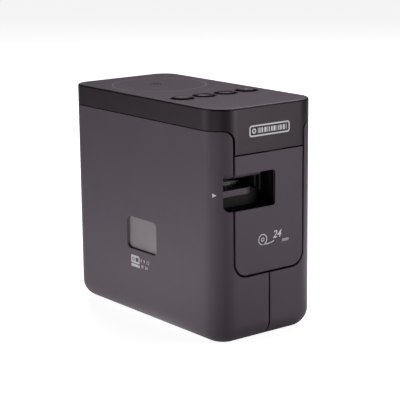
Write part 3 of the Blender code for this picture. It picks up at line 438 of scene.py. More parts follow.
CASING_COLOUR = (0.061, 0.049, 0.060)
CASING_TINT, LID_TINT = (1.0, 0.84, 1.0), (1.0, 0.84, 0.97)
LID_COLOUR, BUTTON_COLOUR = shades(CASING_COLOUR, 0.16, 0.18)     # the top's plastic is smoother and darker
PLASTICS = {    # material's name, colour, roughness, depth of grain in mm, specular level, unevenness, tint
    "casing": ("casing_plastic", CASING_COLOUR, 0.52, 0.012, 0.56, 0.06, CASING_TINT),
    "lid": ("lid_plastic", LID_COLOUR, 0.40, 0.006, 0.42, 0.06, LID_TINT),
    "button": ("button_plastic", BUTTON_COLOUR, 0.36, 0.006, 0.42, 0.06, LID_TINT),
    "dark": ("dark_plastic", (0.026, 0.024, 0.026), 0.40, 0.008),
    # black plastic, whose material also serves as painted shade round the buttons and at the exit lip's end
    "black": ("black_plastic", (0.012, 0.009, 0.009), 0.6, 0.008, 0.25),
    # painted light: a lighter grey that brightens the window's shaded reveal
    "lightened_reveal": ("window_edge", (0.20, 0.18, 0.19), 0.5, 0.006),
    "frame": ("frame_plastic", (0.085, 0.087, 0.094), 0.55),
    "pale": ("pale_plastic", (0.62, 0.62, 0.59), 0.42, 0.006, 0.5, 0.03),
    "gear": ("gear_plastic", (0.78, 0.76, 0.68), 0.38, 0.004, 0.5, 0.03),
    "rubber": ("rubber", (0.022, 0.022, 0.023), 0.82, 0.02, 0.3),
    "roller": ("roller_rubber", (0.030, 0.029, 0.030), 0.65, 0.01, 0.4),
    "ceramic": ("ceramic", (0.55, 0.50, 0.42), 0.30, 0.003),
    "white_print": ("white_print", (0.80, 0.80, 0.82), 0.55, 0.003, 0.5, 0.03),
    "pale_print": ("pale_print", (0.52, 0.51, 0.53), 0.55, 0.003, 0.5, 0.03),
    "grey_print": ("grey_print", (0.34, 0.33, 0.35), 0.55, 0.003, 0.5, 0.03),
    "ring_print": ("ring_print", (0.19, 0.17, 0.20), 0.45, 0.003, 0.5, 0.03),
    # black print, and also a ring of painted shade round each button's hole
    "black_print": ("black_print", (0.020, 0.018, 0.020), 0.8, 0.003, 0.1),
    "plate": ("rating_plate", (0.16, 0.16, 0.17), 0.35, 0.002),
    "chip": ("chip_package", (0.018, 0.018, 0.020), 0.38, 0.003),
    "band": ("cell_band", (0.42, 0.17, 0.045), 0.28, 0.003),
    "ribbon": ("ribbon_film", (0.016, 0.016, 0.018), 0.28, 0.002),
    "label": ("cassette_label", (0.70, 0.71, 0.70), 0.5, 0.004, 0.5, 0.02),
}
METALS = {      # material's name, colour, roughness, and the axis that its streaks run along
    "steel": ("steel", (0.56, 0.56, 0.57), 0.34),
    "bright_steel": ("bright_steel", (0.70, 0.70, 0.71), 0.24, "X"),
    "aluminium": ("aluminium", (0.72, 0.73, 0.74), 0.36, "Y"),
    "copper": ("copper_track", (0.72, 0.42, 0.22), 0.35),
}
LOOKS = {key: moulded(*values) for key, values in PLASTICS.items()}
LOOKS.update({key: brushed(*values) for key, values in METALS.items()})
LOOKS["pane"] = film("clear_pane", (60, 3.0), ((0.25, 0.22, 0.235), (0.29, 0.26, 0.275)), (0.10, 0.2), 0.02,
                     roughness=0.12, specular=0.6, alpha=0.72)
LOOKS["tape"] = film("tape", (700, 3.0), ((0.74, 0.74, 0.71), (0.84, 0.84, 0.82)), (0.24, 0.36), 0.003)
LOOKS["jacket"] = film("cell_jacket", (260, 4.0), ((0.030, 0.032, 0.036), (0.045, 0.047, 0.052)),
                       (0.2, 0.38), 0.03, span=(0.0, 1.0))
LOOKS["board"] = board_look()


# ---------------------------------------------------------------- casing
def casing_ring(z, inset):
    """Plan outline of the casing at height z, moved in by inset."""
    front, rear = max(FRONT_RADIUS - inset, 0.4 * MM), max(REAR_RADIUS - inset, 0.4 * MM)
    span_x, span_y = (-HALF_W + inset, HALF_W - inset), (-HALF_D + inset, HALF_D - inset)
    return [(x, y, z) for x, y in rounded_rectangle(span_x, span_y, (front, front, rear, rear), ARC_STEPS)]


def casing_solid(name, offset):
    """The whole casing as one solid, with its faces moved in by offset."""
    rings = []
    for i in range(ARC_STEPS + 1):
        angle = math.radians(90 * i / ARC_STEPS)
        reach = BOTTOM_RADIUS - (BOTTOM_RADIUS - offset) * math.sin(angle)
        height = FOOT_CLEARANCE + BOTTOM_RADIUS - (BOTTOM_RADIUS - offset) * math.cos(angle)
        rings.append(casing_ring(height, reach))
    if offset:
        rings.append(casing_ring(HEIGHT - offset, offset))
    else:
        for i in range(7):
            t = math.radians(15 * i)
            rings.append(casing_ring(HEIGHT - TOP_RADIUS * (1 - math.sin(t)), TOP_RADIUS * (1 - math.cos(t))))
    return loft(name, rings)


def front_zone_outline(half_w, bottom, top, shoulder_z, radius, shoulder_radius):
    """Front view of panel and apron: rounded at the bottom, flared at the top round the shells' corners."""
    centre = (half_w + shoulder_radius, shoulder_z - shoulder_radius)
    right = arc((half_w - radius, bottom + radius), radius, 270, 360) + arc(centre, shoulder_radius, 180, 90)
    right.append((centre[0], top))
    return right + [(-x, z) for x, z in reversed(right)]


def make_casing_helpers():
    helpers = {"hollow": casing_solid("hollow", WALL)}
    outline = front_zone_outline(PANEL_HALF_W + GROOVE / 2, PANEL_BOTTOM_Z - GROOVE / 2, FAR,
                                 LID_SEAM_Z - SEAM / 2, PANEL_RADIUS + GROOVE / 2, SHOULDER_RADIUS)
    helpers["front_zone"] = prism("front_zone", outline, "y", FRONT_DEPTH)
    radii = mm(4, 2, 2, 1.5)
    opening = slab("exit_opening", (EXIT_LEFT, EXIT_RIGHT), (EXIT_BOTTOM, EXIT_TOP), radii, "y", FRONT_DEPTH)
    rings = [casing_ring(EXIT_TOP - LIP_SLOPE * inset / WALL, inset) for inset in (2 * WALL, -WALL)]
    beyond = block("beyond_slope", (LIP_SLOPE_RIGHT, FAR), (-FAR, FAR), (0.0, FAR))
    helpers["exit_opening"] = cut(opening, cut(loft("exit_slope", rings), beyond))
    return helpers


HELPERS = make_casing_helpers()


def casing_piece(name, region, cutters):
    """The part of the hollow casing that lies inside region, less the cutters."""
    shell = casing_solid(name, 0.0)
    cut(shell, HELPERS["hollow"])
    boolean(shell, region, "INTERSECT")
    return cut(shell, *cutters)


def hinge_knuckles(owner, spans, tab_x):
    tab_y = (HALF_D - WALL, HALF_D - 0.02 * MM)
    for span in spans:
        barrel = disc("barrel", (HINGE_X, HINGE_Y), HINGE_BARREL_R, "z", span, 40)
        add(owner, block("tab", tab_x, tab_y, span), barrel)
    return cut(owner, disc("pin_hole", (HINGE_X, HINGE_Y), HINGE_HOLE_R, "z", mm(10, 140), 32))


def cover_ribs(cover):
    """Stiffening ribs inside the tape compartment cover, round its window and clear of the cassette."""
    rib_x, half = (-HALF_W + WALL - 0.3 * MM, -35.75 * MM), 0.5 * MM
    low_z, high_z, front_y, rear_y = mm(18, 125, -54, 62)
    for z in mm(24, 82, 92, 118):
        add(cover, block("rib", rib_x, (front_y, rear_y), around(z, half)))
    for y in mm(-44, -24, 28, 52):
        add(cover, block("rib", rib_x, around(y, half), (low_z, high_z)))
    spans = [grown(span, 3.2 * MM) for span in (WINDOW_Y, WINDOW_Z)]
    room = [grown(span, -2 * half) for span in spans]
    seat = slab("seat", *spans, 4 * MM, "x", rib_x)
    add(cover, cut(seat, slab("seat_room", *room, 3.4 * MM, "x", (-FAR, 0))))


def left_cover():
    """Tape compartment cover: left side, half of the lower front, and both left upright edges."""
    top = LID_SEAM_Z - SEAM / 2
    region = block("left_region", (-FAR, UNDER_SEAM_X), (-FAR, FAR), (-FAR, top))
    add(region, block("left_flange", (-FAR, -LOW_SEAM / 2), (-FAR, -HALF_D + FLANGE_DEPTH), (-FAR, top)))
    window = slab("window", WINDOW_Y, WINDOW_Z, WINDOW_RADIUS, "x", (-FAR, -30 * MM))
    cover = casing_piece("left_cover_shell", region, [HELPERS["front_zone"], HELPERS["exit_opening"], window])
    hinge_knuckles(cover, COVER_KNUCKLES, (UNDER_SEAM_X - 1 * MM, HINGE_X))
    cover_ribs(cover)
    hook = [mm(-56, 112), mm(-50, 112), mm(-50, 116), mm(-54.5, 116)]
    add(cover, prism("latch", hook, "x", mm(-37.2, -35.2)))
    made = piece(cover, "casing", "left_cover", EDGE)
    # The window's reveal faces get a lighter grey: painted light where the recess lies in shade.
    (front, rear), (low, high) = grown(WINDOW_Y, EDGE), grown(WINDOW_Z, EDGE)
    paint(made, "lightened_reveal", lambda p, n: p.x < WALL - HALF_W and abs(n.x) < 0.4
          and front < p.y < rear and low < p.z < high)


def right_housing():
    """The fixed shell: right side, rear, underside and the right half of the lower front."""
    top = LID_SEAM_Z - SEAM / 2
    region = block("right_region", (UNDER_SEAM_X + GAP, FAR), (-HALF_D + FLANGE_DEPTH + GAP, FAR),
                   (-FAR, top))
    add(region, block("right_flange", (LOW_SEAM / 2, FAR), (-FAR, 0.0), (-FAR, top)))
    x, y, z = [grown(span, GAP) for span in spans_of("battery_cover")]
    battery = block("battery_opening", x, (y[0], FAR), (-FAR, z[1]))
    slot = block("hinge_slot", (-30 * MM, HINGE_SLOT_EDGE), (HINGE_Y - 4.2 * MM, FAR), (-FAR, FAR))
    usb, through = [grown(span_of("usb_socket", axis), -0.4 * MM) for axis in "xz"], (70 * MM, FAR)
    sockets = [slab("usb_cut", *usb, 0.8 * MM, "y", through, 6),
               disc("dc_cut", centre_of("dc_jack", "y"), DC_R, "y", through)]
    housing = casing_piece("right_housing_shell", region, [HELPERS["front_zone"], battery, slot, *sockets])
    hinge_knuckles(housing, HOUSING_KNUCKLES, (HINGE_X, HINGE_SLOT_EDGE + 1 * MM))
    post_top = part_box("chassis")[0].z - GAP
    for name in CASE_SCREWS:
        centre = centre_of(name, "z")
        add(housing, disc("post", centre, POST_R, "z", (2.6 * MM, post_top), 32))
        cut(housing, disc("post_hole", centre, POST_HOLE_R, "z", (0.0, 30 * MM), 24))
        cut(housing, disc("post_sink", centre, SINK_R, "z", (0.0, 2.7 * MM), 32))
    for name in FEET:
        x, y, z = [grown(span, GAP) for span in spans_of(name)]
        cut(housing, slab("foot_pocket", x, y, 1.7 * MM, "z", (-10 * MM, z[1]), 8))
    piece(housing, "casing", "right_housing", EDGE)


def top_cover():
    """The top with its band and the apron down the front. The walls of the gap round each button are painted
    black as painted shade.
    """
    region = block("lid_region", (-FAR, FAR), (-FAR, FAR), (LID_SEAM_Z + SEAM / 2, FAR))
    apron = front_zone_outline(PANEL_HALF_W - GROOVE / 2, PANEL_TOP_Z + PANEL_SEAM / 2, LID_SEAM_Z + 4 * MM,
                               LID_SEAM_Z + SEAM / 2, 0.4 * MM, SHOULDER_RADIUS + GROOVE / 2)
    add(region, prism("apron_region", apron, "y", FRONT_DEPTH))
    middles = [centre_of(f"{key}_button", "z") for key in BUTTONS]
    holes = [disc("button_hole", centre, BUTTON_HOLE_R, "z", (LID_SEAM_Z, FAR)) for centre in middles]
    lid = casing_piece("top_cover_shell", region, holes)
    post = (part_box("chassis")[1].z + GAP, HEIGHT - WALL / 2)
    for name in TOP_SCREWS:
        centre = centre_of(name, "z")
        add(lid, disc("lid_post", centre, LID_POST_R, "z", post, 32))
        cut(lid, disc("lid_post_hole", centre, POST_HOLE_R, "z", mm(120, 136.2), 24))
    made = piece(lid, "lid", "top_cover", EDGE)
    # The walls of each button's hole, the faces near it that don't face up, are painted black as painted shade
    # of the gap.
    painted_shade_reach = BUTTON_HOLE_R + 0.3 * MM
    paint(made, "black", lambda p, n: n.z < 0.9 and any((p.xy - Vector(m)).length < painted_shade_reach for m in middles))


def front_panel():
    half_w, radius = PANEL_HALF_W - GROOVE / 2, PANEL_RADIUS - GROOVE / 2
    span_z = (PANEL_BOTTOM_Z + GROOVE / 2, PANEL_TOP_Z - PANEL_SEAM / 2)
    radii = (radius, radius, *mm(0.4, 0.4))
    region = slab("panel_region", around(0.0, half_w), span_z, radii, "y", FRONT_DEPTH)
    panel = casing_piece("front_panel_shell", region, [HELPERS["exit_opening"]])
    piece(panel, "casing", "front_panel", EDGE)


def battery_cover():
    """Slides off rearwards. Grip grooves and an arrow on its underside show which way."""
    x, y, z = spans_of("battery_cover")
    region = block("battery_region", x, (y[0], FAR), (-FAR, z[1]))
    middle, depth, grooves = (x[0] + x[1]) / 2, (0.0, FOOT_CLEARANCE + 0.5 * MM), []
    for i in range(6):
        y = (34 + 2.6 * i) * MM
        grooves.append(slab("grip", around(middle, 10 * MM), (y, y + 1.2 * MM), 0.59 * MM, "z", depth, 6))
    arrow = [(middle - 4 * MM, 24 * MM), (middle + 4 * MM, 24 * MM), (middle, 30 * MM)]
    grooves.append(prism("arrow", arrow, "z", depth))
    piece(casing_piece("battery_cover_shell", region, grooves), "casing", "battery_cover", 0.2 * MM)


def button(node):
    """Cap with a faint dish, on a flange that keeps it in and a stem down to its switch.

    A cap that is level with the top has a raised rim round its dish, and one that stands out is rounded.
    """
    low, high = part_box(node)
    centre, top, rim = centre_of(node, "z"), high.z, 0.45 * MM
    rise = 0.0 if top > HEIGHT + 0.5 * MM else 0.6 * MM
    profile = [(1.3 * MM, low.z), (1.5 * MM, low.z + 0.2 * MM), (1.5 * MM, low.z + 2 * MM)]
    profile += rounded_profile(7.3 * MM, low.z + 2 * MM, low.z + 3.2 * MM, 0.2 * MM, 3)
    profile.append((BUTTON_R, low.z + 3.2 * MM))
    profile += [(BUTTON_R - rim + a, top + rise - rim + b) for a, b in arc((0, 0), rim, 0, 90, 6)]
    if rise:
        profile += [(BUTTON_R * 0.88, top + rise - 0.05 * MM), (BUTTON_R * 0.84, top + 0.1 * MM)]
    for share in (0.8, 0.6, 0.4, 0.2, 0.02):
        profile.append((BUTTON_R * share, top - BUTTON_DISH * (1 - share ** 2)))
    cap = piece(turned(f"{node}_cap", centre, "z", profile), "button", node)
    # The cap's outer edge and sides are painted black as painted shade; the flange and stem below are black
    # too.
    paint(cap, "black", lambda p, n: math.hypot(p.x - centre[0], p.y - centre[1]) > BUTTON_R * 0.82
          or p.z < low.z + 4 * MM)


left_cover()
right_housing()
top_cover()
front_panel()
battery_cover()
for key in BUTTONS:
    button(f"{key}_button")


# ---------------------------------------------------------------- printed marks
# Marks are drawn in millimetres on a plane (u to the right, v up), PRINT thick, and then laid on a face.
def flat_mesh(curve):
    """The mesh of a filled 2D curve or lettering, with its caps and sides joined."""
    drawn = link("drawn", curve)
    mesh = bpy.data.meshes.new_from_object(drawn.evaluated_get(bpy.context.evaluated_depsgraph_get()))
    bpy.data.objects.remove(drawn, do_unlink=True)
    return mesh


def shape(*outlines):
    """A flat solid inside closed outlines. An outline inside another is a hole."""
    curve = bpy.data.curves.new("shape", "CURVE")
    curve.dimensions = "2D"
    curve.fill_mode = "BOTH"
    curve.extrude = PRINT / MM / 2
    for outline in outlines:
        spline = curve.splines.new("POLY")
        spline.points.add(len(outline) - 1)
        for point, (u, v) in zip(spline.points, outline):
            point.co = (u, v, 0.0, 1.0)
        spline.use_cyclic_u = True
    return flat_mesh(curve)


def bar(u, v, radius=0.0):
    return shape(rounded_rectangle(u, v, radius, 6))


def ring(centre, radius, width, steps=48):
    return shape(circle(centre, radius + width / 2, steps), circle(centre, radius - width / 2, steps))


def stroke(points, width):
    """A line of one width through points, with round ends."""
    count = len(points)
    sides = ([], [])
    for i, (u, v) in enumerate(points):
        before, after = points[max(i - 1, 0)], points[min(i + 1, count - 1)]
        along = Vector((after[0] - before[0], after[1] - before[1])).normalized()
        half = Vector((-along.y, along.x)) * width / 2
        if 0 < i < count - 1:
            first = Vector((u - before[0], v - before[1])).normalized()
            half /= max(0.3, first.dot(along))
        sides[0].append((u + half.x, v + half.y))
        sides[1].append((u - half.x, v - half.y))
    turn_start = math.degrees(math.atan2(points[1][1] - points[0][1], points[1][0] - points[0][0]))
    turn_end = math.degrees(math.atan2(points[-1][1] - points[-2][1], points[-1][0] - points[-2][0]))
    end_cap = arc(points[-1], width / 2, turn_end + 90, turn_end - 90, 6)[1:-1]
    start_cap = arc(points[0], width / 2, turn_start - 90, turn_start - 270, 6)[1:-1]
    return shape(sides[0] + end_cap + sides[1][::-1] + start_cap)


def lettering(text, size, at, shear=0.0):
    """Numerals and units in a font of the given size, with their baseline's left end at a point."""
    font = bpy.data.curves.new("lettering", "FONT")
    font.body, font.size, font.shear = text, size, shear
    font.extrude = PRINT / MM / 2
    font.offset = size * 0.012
    mesh = flat_mesh(font)
    mesh.transform(Matrix.Translation((at[0], at[1], 0.0)))
    return mesh


def on_face(origin, side):
    """Lays marks on a flat face, with u to its right and v up from origin."""
    origin, right, up = Vector(origin), Vector(side[0]), Vector(side[1])
    normal = right.cross(up)

    def lay(u, v, w):
        return origin + (right * u + up * v) * MM + normal * (w * MM + PRINT / 2 - TOUCH)
    return lay


def printed(name, marks, lay, look, body="base"):
    """One piece of all the marks, laid on their face."""
    edit = bmesh.new()
    for mark in marks:
        edit.from_mesh(mark)
        bpy.data.meshes.remove(mark)
    bmesh.ops.remove_doubles(edit, verts=edit.verts[:], dist=1e-4)
    bmesh.ops.recalc_face_normals(edit, faces=edit.faces[:])
    for vert in edit.verts:
        vert.co = lay(*vert.co)
    mesh = bpy.data.meshes.new(name)
    edit.to_mesh(mesh)
    edit.free()
    register(link(name, mesh), look, body=body)


# The directions to the right and up on each side, seen from outside
FRONT = ((1, 0, 0), (0, 0, 1))
LEFT = ((0, -1, 0), (0, 0, 1))
REAR = ((-1, 0, 0), (0, 0, 1))
TOP = ((1, 0, 0), (0, 1, 0))


def apron_mark():
    """A generic mark of a label with a bar code on it."""
    u, v, line = (-15.5, 15.5), (-3.4, 3.4), 0.9
    room = rounded_rectangle(grown(u, -line), grown(v, -line), 0.9, 8)
    marks = [shape(rounded_rectangle(u, v, 1.7, 8), room), ring((-11.9, 0.0), 1.15, 0.8)]
    u = -9.0
    for i in range(13):
        width = 0.45 + 0.38 * (i * 5 % 4)
        marks.append(bar((u, u + width), (-1.5, 1.5)))
        u += width + 0.62 + 0.16 * (i % 3)
    lay = on_face((0.0, -HALF_D, 128.4 * MM), FRONT)
    printed("apron_mark", marks, lay, "white_print")


def panel_mark():
    """A generic mark of a tape roll with its end drawn out, and the widest tape that fits."""
    marks = [ring((-6.6, 1.0), 3.1, 0.55), ring((-6.6, 1.0), 1.0, 0.55),
             stroke([(-6.6, -2.1), (-2.0, -2.1), (0.2, -1.7), (2.0, -1.0)], 0.55),
             lettering("24", 6.4, (1.2, 0.6), shear=0.25), lettering("mm", 3.4, (8.3, -2.6), shear=0.25)]
    lay = on_face((1.2 * MM, -HALF_D, 61.6 * MM), FRONT)
    printed("panel_mark", marks, lay, "white_print")


def window_mark():
    """Under the window: a cassette sign, and a generic row of numbers on two lines."""
    case = rounded_rectangle((-11.6, -2.7), (-0.9, 4.1), 0.9, 6)
    hub, label = (-9.2, 1.6), rounded_rectangle((-6.9, -3.7), (0.3, 2.9), 0.4, 3)
    marks = [shape(case, circle(hub, 1.35, 20), label), ring(hub, 0.6, 0.5, 20),
             bar((-11.6, -2.7), (-3.3, -1.5), 0.4),
             lettering("6  9  12", 2.9, (-1.5, 1.0)), lettering("18  24", 2.9, (-1.5, -2.7))]
    lay = on_face((-HALF_W, 0.3 * MM, 37.4 * MM), LEFT)
    printed("window_mark", marks, lay, "pale_print", "tape_cover")


def exit_arrow():
    """A small triangle on the cover's rounded front edge, which points at the label exit."""
    centre = (-HALF_W + FRONT_RADIUS, -HALF_D + FRONT_RADIUS)
    start, length, half, steps, height = math.radians(209.4), 2.46 * MM, 1.25 * MM, 8, 92.5 * MM
    rings = []
    for i in range(steps + 1):
        share = i / steps
        turn = start + length * share / FRONT_RADIUS
        reach = half * (1.0 - share) + 0.03 * MM
        ends = []
        for out, v in ((-TOUCH, -reach), (-TOUCH, reach), (PRINT - TOUCH, reach), (PRINT - TOUCH, -reach)):
            r = FRONT_RADIUS + out
            ends.append((centre[0] + r * math.cos(turn), centre[1] + r * math.sin(turn), height + v))
        rings.append(ends)
    register(loft("exit_arrow", rings), "white_print", body="tape_cover")


def lid_marks():
    """The ring that shows where to hold a phone, and three arcs for its contactless link."""
    lay = on_face((*RING_CENTRE, HEIGHT), TOP)
    printed("contactless_ring", [ring((0, 0), RING_R / MM, 0.8, 128)], lay, "ring_print")
    arcs = [stroke(arc((-4.5, 3.0), r, -38, 38, 12), 0.9) for r in (2.4, 4.4, 6.4)]
    arcs.append(shape(circle((-4.5, 3.0), 0.7, 20)))
    printed("contactless_mark", arcs, lay, "black_print")


def button_marks():
    """Power, wireless, pairing and cutting signs, each laid in its cap's dish, and a black ring of painted
    shade round each button's hole.
    """
    line = 0.42
    signs = {
        "power": [stroke(arc((0, 0), 1.7, 125, 415, 24), line), stroke([(0, 0.5), (0, 2.2)], line)],
        "wireless": [*(stroke(arc((0, -1.4), r, 50, 130, 12), line) for r in (1.3, 2.4, 3.5)),
                     shape(circle((0, -1.4), 0.4, 16))],
        "pairing": [shape(rounded_rectangle((-1.2, 1.2), (-2.1, 2.1), 0.5, 5),
                          rounded_rectangle((-0.8, 0.8), (-1.3, 1.6), 0.2, 3))],
        "feed_cut": [ring((-1.3, -1.5), 0.75, line, 20), ring((1.3, -1.5), 0.75, line, 20),
                     stroke([(-0.85, -0.85), (1.5, 2.2)], line), stroke([(0.85, -0.85), (-1.5, 2.2)], line)],
    }
    centres = {key: centre_of(f"{key}_button", "z") for key in BUTTONS}
    # A black ring round each button's hole: painted shade of the gap.
    rings = [ring([c / MM for c in centre], BUTTON_HOLE_R / MM + 0.45, 0.8) for centre in centres.values()]
    printed("button_painted_shade_rings", rings, on_face((0, 0, HEIGHT), TOP), "black_print")
    for key in BUTTONS:
        flat = on_face((*centres[key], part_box(f"{key}_button")[1].z), TOP)

        def dished(u, v, w, flat=flat):
            share = min(1.0, math.hypot(u, v) * MM / BUTTON_R)
            return flat(u, v, w) - Vector((0, 0, BUTTON_DISH * (1 - share ** 2)))
        printed(f"{key}_sign", signs[key], dished, "grey_print", f"{key}_key")


def socket_marks():
    """Signs beside the rear sockets: a plug, and the polarity of the power inlet."""
    lay = on_face((14.0 * MM, HALF_D, centre_of("usb_socket", "y")[1]), REAR)
    plug = [shape(rounded_rectangle((-1.2, 1.2), (-1.2, 1.2), 0.3, 4)),
            bar((-2.6, -1.4), (-0.75, 0.75)), stroke([(1.3, 0.0), (3.0, 0.0)], 0.4)]
    printed("data_sign", plug, lay, "grey_print")
    lay = on_face((12.4 * MM, HALF_D, centre_of("dc_jack", "y")[1]), REAR)
    polarity = [ring((u, 0), 0.9, 0.35, 20) for u in (-3.2, 3.2)]
    for line in (((-3.6, 0), (-2.8, 0)), arc((0, 0), 1.2, 35, 325, 20), ((-2.3, 0), (-1.2, 0)),
                 ((0.4, 0), (2.3, 0)), ((2.8, 0), (3.6, 0)), ((3.2, -0.4), (3.2, 0.4))):
        polarity.append(stroke(line, 0.35))
    polarity.append(shape(circle((0, 0), 0.45, 16)))
    printed("power_inlet_sign", polarity, lay, "grey_print")


def rating_plate():
    """A blank plate on the rear, where ratings would be."""
    depth = (HALF_D - TOUCH, HALF_D + 0.08 * MM)
    piece(slab("rating_plate", mm(-4, 28), mm(66, 84), 1.5 * MM, "y", depth, 8), "plate", edge=0.02 * MM)


apron_mark()
panel_mark()
window_mark()
exit_arrow()
lid_marks()
button_marks()
socket_marks()
rating_plate()


# ---------------------------------------------------------------- inner pieces
def refined(node, look, edge, segments=2):
    """A CAD node's own solid, with its facets joined up and its edges rounded."""
    source = frame["nodes"][node].data
    made = mesh_object(f"{node}_body", [v.co for v in source.vertices], [p.vertices for p in source.polygons])
    edit = bmesh.new()
    edit.from_mesh(made.data)
    bmesh.ops.remove_doubles(edit, verts=edit.verts[:], dist=0.002 * MM)
    bmesh.ops.recalc_face_normals(edit, faces=edit.faces[:])
    bmesh.ops.dissolve_limit(edit, angle_limit=math.radians(0.5), verts=edit.verts[:], edges=edit.edges[:])
    edit.to_mesh(made.data)
    edit.free()
    return piece(made, look, node, edge, segments)


def tube(name, centre, axis, profile, steps=ROUND):
    """A turned solid with a hole right through: profile goes round its whole section."""
    rings = turned_rings(centre, axis, profile, steps)
    count = len(rings)
    verts = [p for ring in rings for p in ring]
    faces = []
    for level in range(count):
        low, high = level * steps, (level + 1) % count * steps
        for i in range(steps):
            j = (i + 1) % steps
            faces.append((low + i, high + i, high + j, low + j))
    return mesh_object(name, verts, faces)


def exit_guide():
    """Dark moulding in the label exit: a finger recess, the lip for the label, and a slot above it."""
    low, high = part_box("exit_guide")
    margin, root, lip_end_r = 0.6 * MM, high.y - 0.8 * MM, 7 * MM
    lip_z, lip_right, lip_front = mm(90.2, 94.2), -6.6 * MM, low.y + 1.5 * MM
    guide = block("exit_guide_body", *spans_of("exit_guide"))
    pocket_z = grown((EXIT_BOTTOM, EXIT_TOP), margin)
    cut(guide, slab("exit_pocket", (-FAR, EXIT_RIGHT + margin), pocket_z, mm(0.0, 2, 2, 0.0), "y",
                    (-FAR, high.y - 1.6 * MM)))
    cut(guide, block("exit_slot", (-FAR, -7.5 * MM), (-FAR, FAR), (lip_z[1] - 0.4 * MM, pocket_z[1])))
    lip_end = arc((lip_right - lip_end_r, lip_front + lip_end_r), lip_end_r, 270, 360, 16)
    lip = [(low.x, root), (low.x, lip_front), *lip_end, (lip_right, root)]
    add(guide, prism("exit_lip", lip, "z", lip_z))
    for x, rib_low in ((-6.2 * MM, lip_z[1]), mm(-2.5, 91.5)):
        add(guide, block("rib", around(x, 0.4 * MM), (-70 * MM, root), (rib_low, EXIT_TOP + 1 * MM)))
    boolean(guide, casing_solid("guide_limit", WALL + 0.5 * MM), "INTERSECT")
    made = piece(guide, "black", "exit_guide", 0.25 * MM, 3)
    # Only the lip's faces that face the front take the casing's colour; where its rounded end turns away it
    # stays black as painted shade.
    paint(made, "casing", lambda p, n: lip_z[0] < p.z < lip_z[1] and p.x < lip_right and n.y < -0.7
          and p.y < lip_front + lip_end_r)


def cassette_pane():
    """Clear pane behind the window in the tape compartment cover, with a plug that fills the window."""
    x, y, z = spans_of("cassette_window")
    pane = slab("cassette_pane", y, z, WINDOW_RADIUS, "x", x)
    y, z = grown(WINDOW_Y, -GAP), grown(WINDOW_Z, -GAP)
    add(pane, slab("pane_plug", y, z, WINDOW_RADIUS - GAP, "x", (1.7 * MM - HALF_W, x[0] + 0.2 * MM)))
    piece(pane, "pane", "cassette_window", 0.2 * MM, 3)


def foot(node):
    x, y, z = spans_of(node)
    piece(slab(f"{node}_pad", x, y, FOOT_R, "z", z, 10), "rubber", node, 0.3 * MM, 3)


def screw(node):
    """Pan head screw that points up: a cross recess in its head, and a rolled thread."""
    low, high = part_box(node)
    centre, head_r, shank_r, head_h, pitch = centre_of(node, "z"), 2.4 * MM, 0.95 * MM, 1.4 * MM, 0.42 * MM
    dome = ((0.45, 0), (0.72, 0.1), (0.92, 0.32), (1, 0.65))
    profile = [(head_r * share, low.z + up * MM) for share, up in dome]
    profile += [(head_r, low.z + head_h - 0.1 * MM), (head_r - 0.1 * MM, low.z + head_h)]
    along = low.z + head_h + 0.3 * MM
    profile.append((shank_r * 0.86, along - 0.3 * MM))
    while along < high.z - 1.2 * MM:
        profile += [(shank_r * 0.8, along), (shank_r, along + pitch * 0.4), (shank_r, along + pitch * 0.5)]
        along += pitch
    profile += [(shank_r * 0.7, high.z - 0.5 * MM), (0.2 * MM, high.z)]
    made = turned(f"{node}_pin", centre, "z", profile, 40)
    half, reach, depth = 0.28 * MM, 1.25 * MM, (0.0, low.z + 0.75 * MM)
    for x, y in ((half, reach), (reach, half)):
        cut(made, block("recess", around(centre[0], x), around(centre[1], y), depth))
    piece(made, "steel", node)


def motor(node, axis, radius, neck_r, neck, bore_depth):
    """Small can motor: rounded can, raised rear cap, and a blind bore for the shaft that another body has."""
    face, rear = span_of(node, axis)
    can_end, boss_r, boss_h, bore_r = rear - face - neck, 3.2 * MM, 0.25 * MM, 1.3 * MM
    steps = [(0.02 * MM, bore_depth), (bore_r, bore_depth), (bore_r, 0.0), (boss_r, 0.0), (boss_r, boss_h),
             (3.5 * MM, boss_h), *rounded_profile(radius, boss_h, can_end, 0.5 * MM),
             (neck_r, can_end), (neck_r, can_end + neck - 0.2 * MM), (neck_r - 0.2 * MM, can_end + neck)]
    profile = [(r, face + along) for r, along in steps]
    piece(turned(f"{node}_can", centre_of(node, axis), axis, profile), "steel", node)


def battery_cell(node):
    """Cell with a rolled rim at each end of its jacket, a steel cap with a nub, and a steel base."""
    low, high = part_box(node)
    centre = centre_of(node, "y")
    start, way = (high.y, -1) if node in TURNED_CELLS else (low.y, 1)
    radius, shoulder, length = (high.z - low.z) / 2, 48.6 * MM, high.y - low.y
    band_start, jacket = 33 * MM, rounded_profile(radius, 0.0, shoulder, 0.4 * MM)[1:-1]
    half = len(jacket) // 2
    steps = [(radius - 1.4 * MM, 0.0), (radius - 1.0 * MM, 0.12 * MM), (radius - 0.7 * MM, 0.12 * MM)]
    steps += [*jacket[:half], (radius, band_start), *jacket[half:]]
    steps += [(radius - 0.8 * MM, shoulder - 0.15 * MM), (3.4 * MM, shoulder - 0.15 * MM),
              (2.7 * MM, shoulder + 0.1 * MM), (2.7 * MM, length - 0.25 * MM), (2.45 * MM, length)]
    made = turned(f"{node}_cell", centre, "y", [(r, start + way * along) for r, along in steps])
    cell = piece(made, "jacket", node)

    def part_way(point, first, last):
        return first <= abs(point.y - start) <= last
    radial = radius - 0.6 * MM
    paint(cell, "band", lambda p, n: part_way(p, band_start, shoulder - 0.5 * MM))
    paint(cell, "steel", lambda p, n: math.hypot(p.x - centre[0], p.z - centre[1]) < radial
          and not part_way(p, 1 * MM, shoulder - 1 * MM))


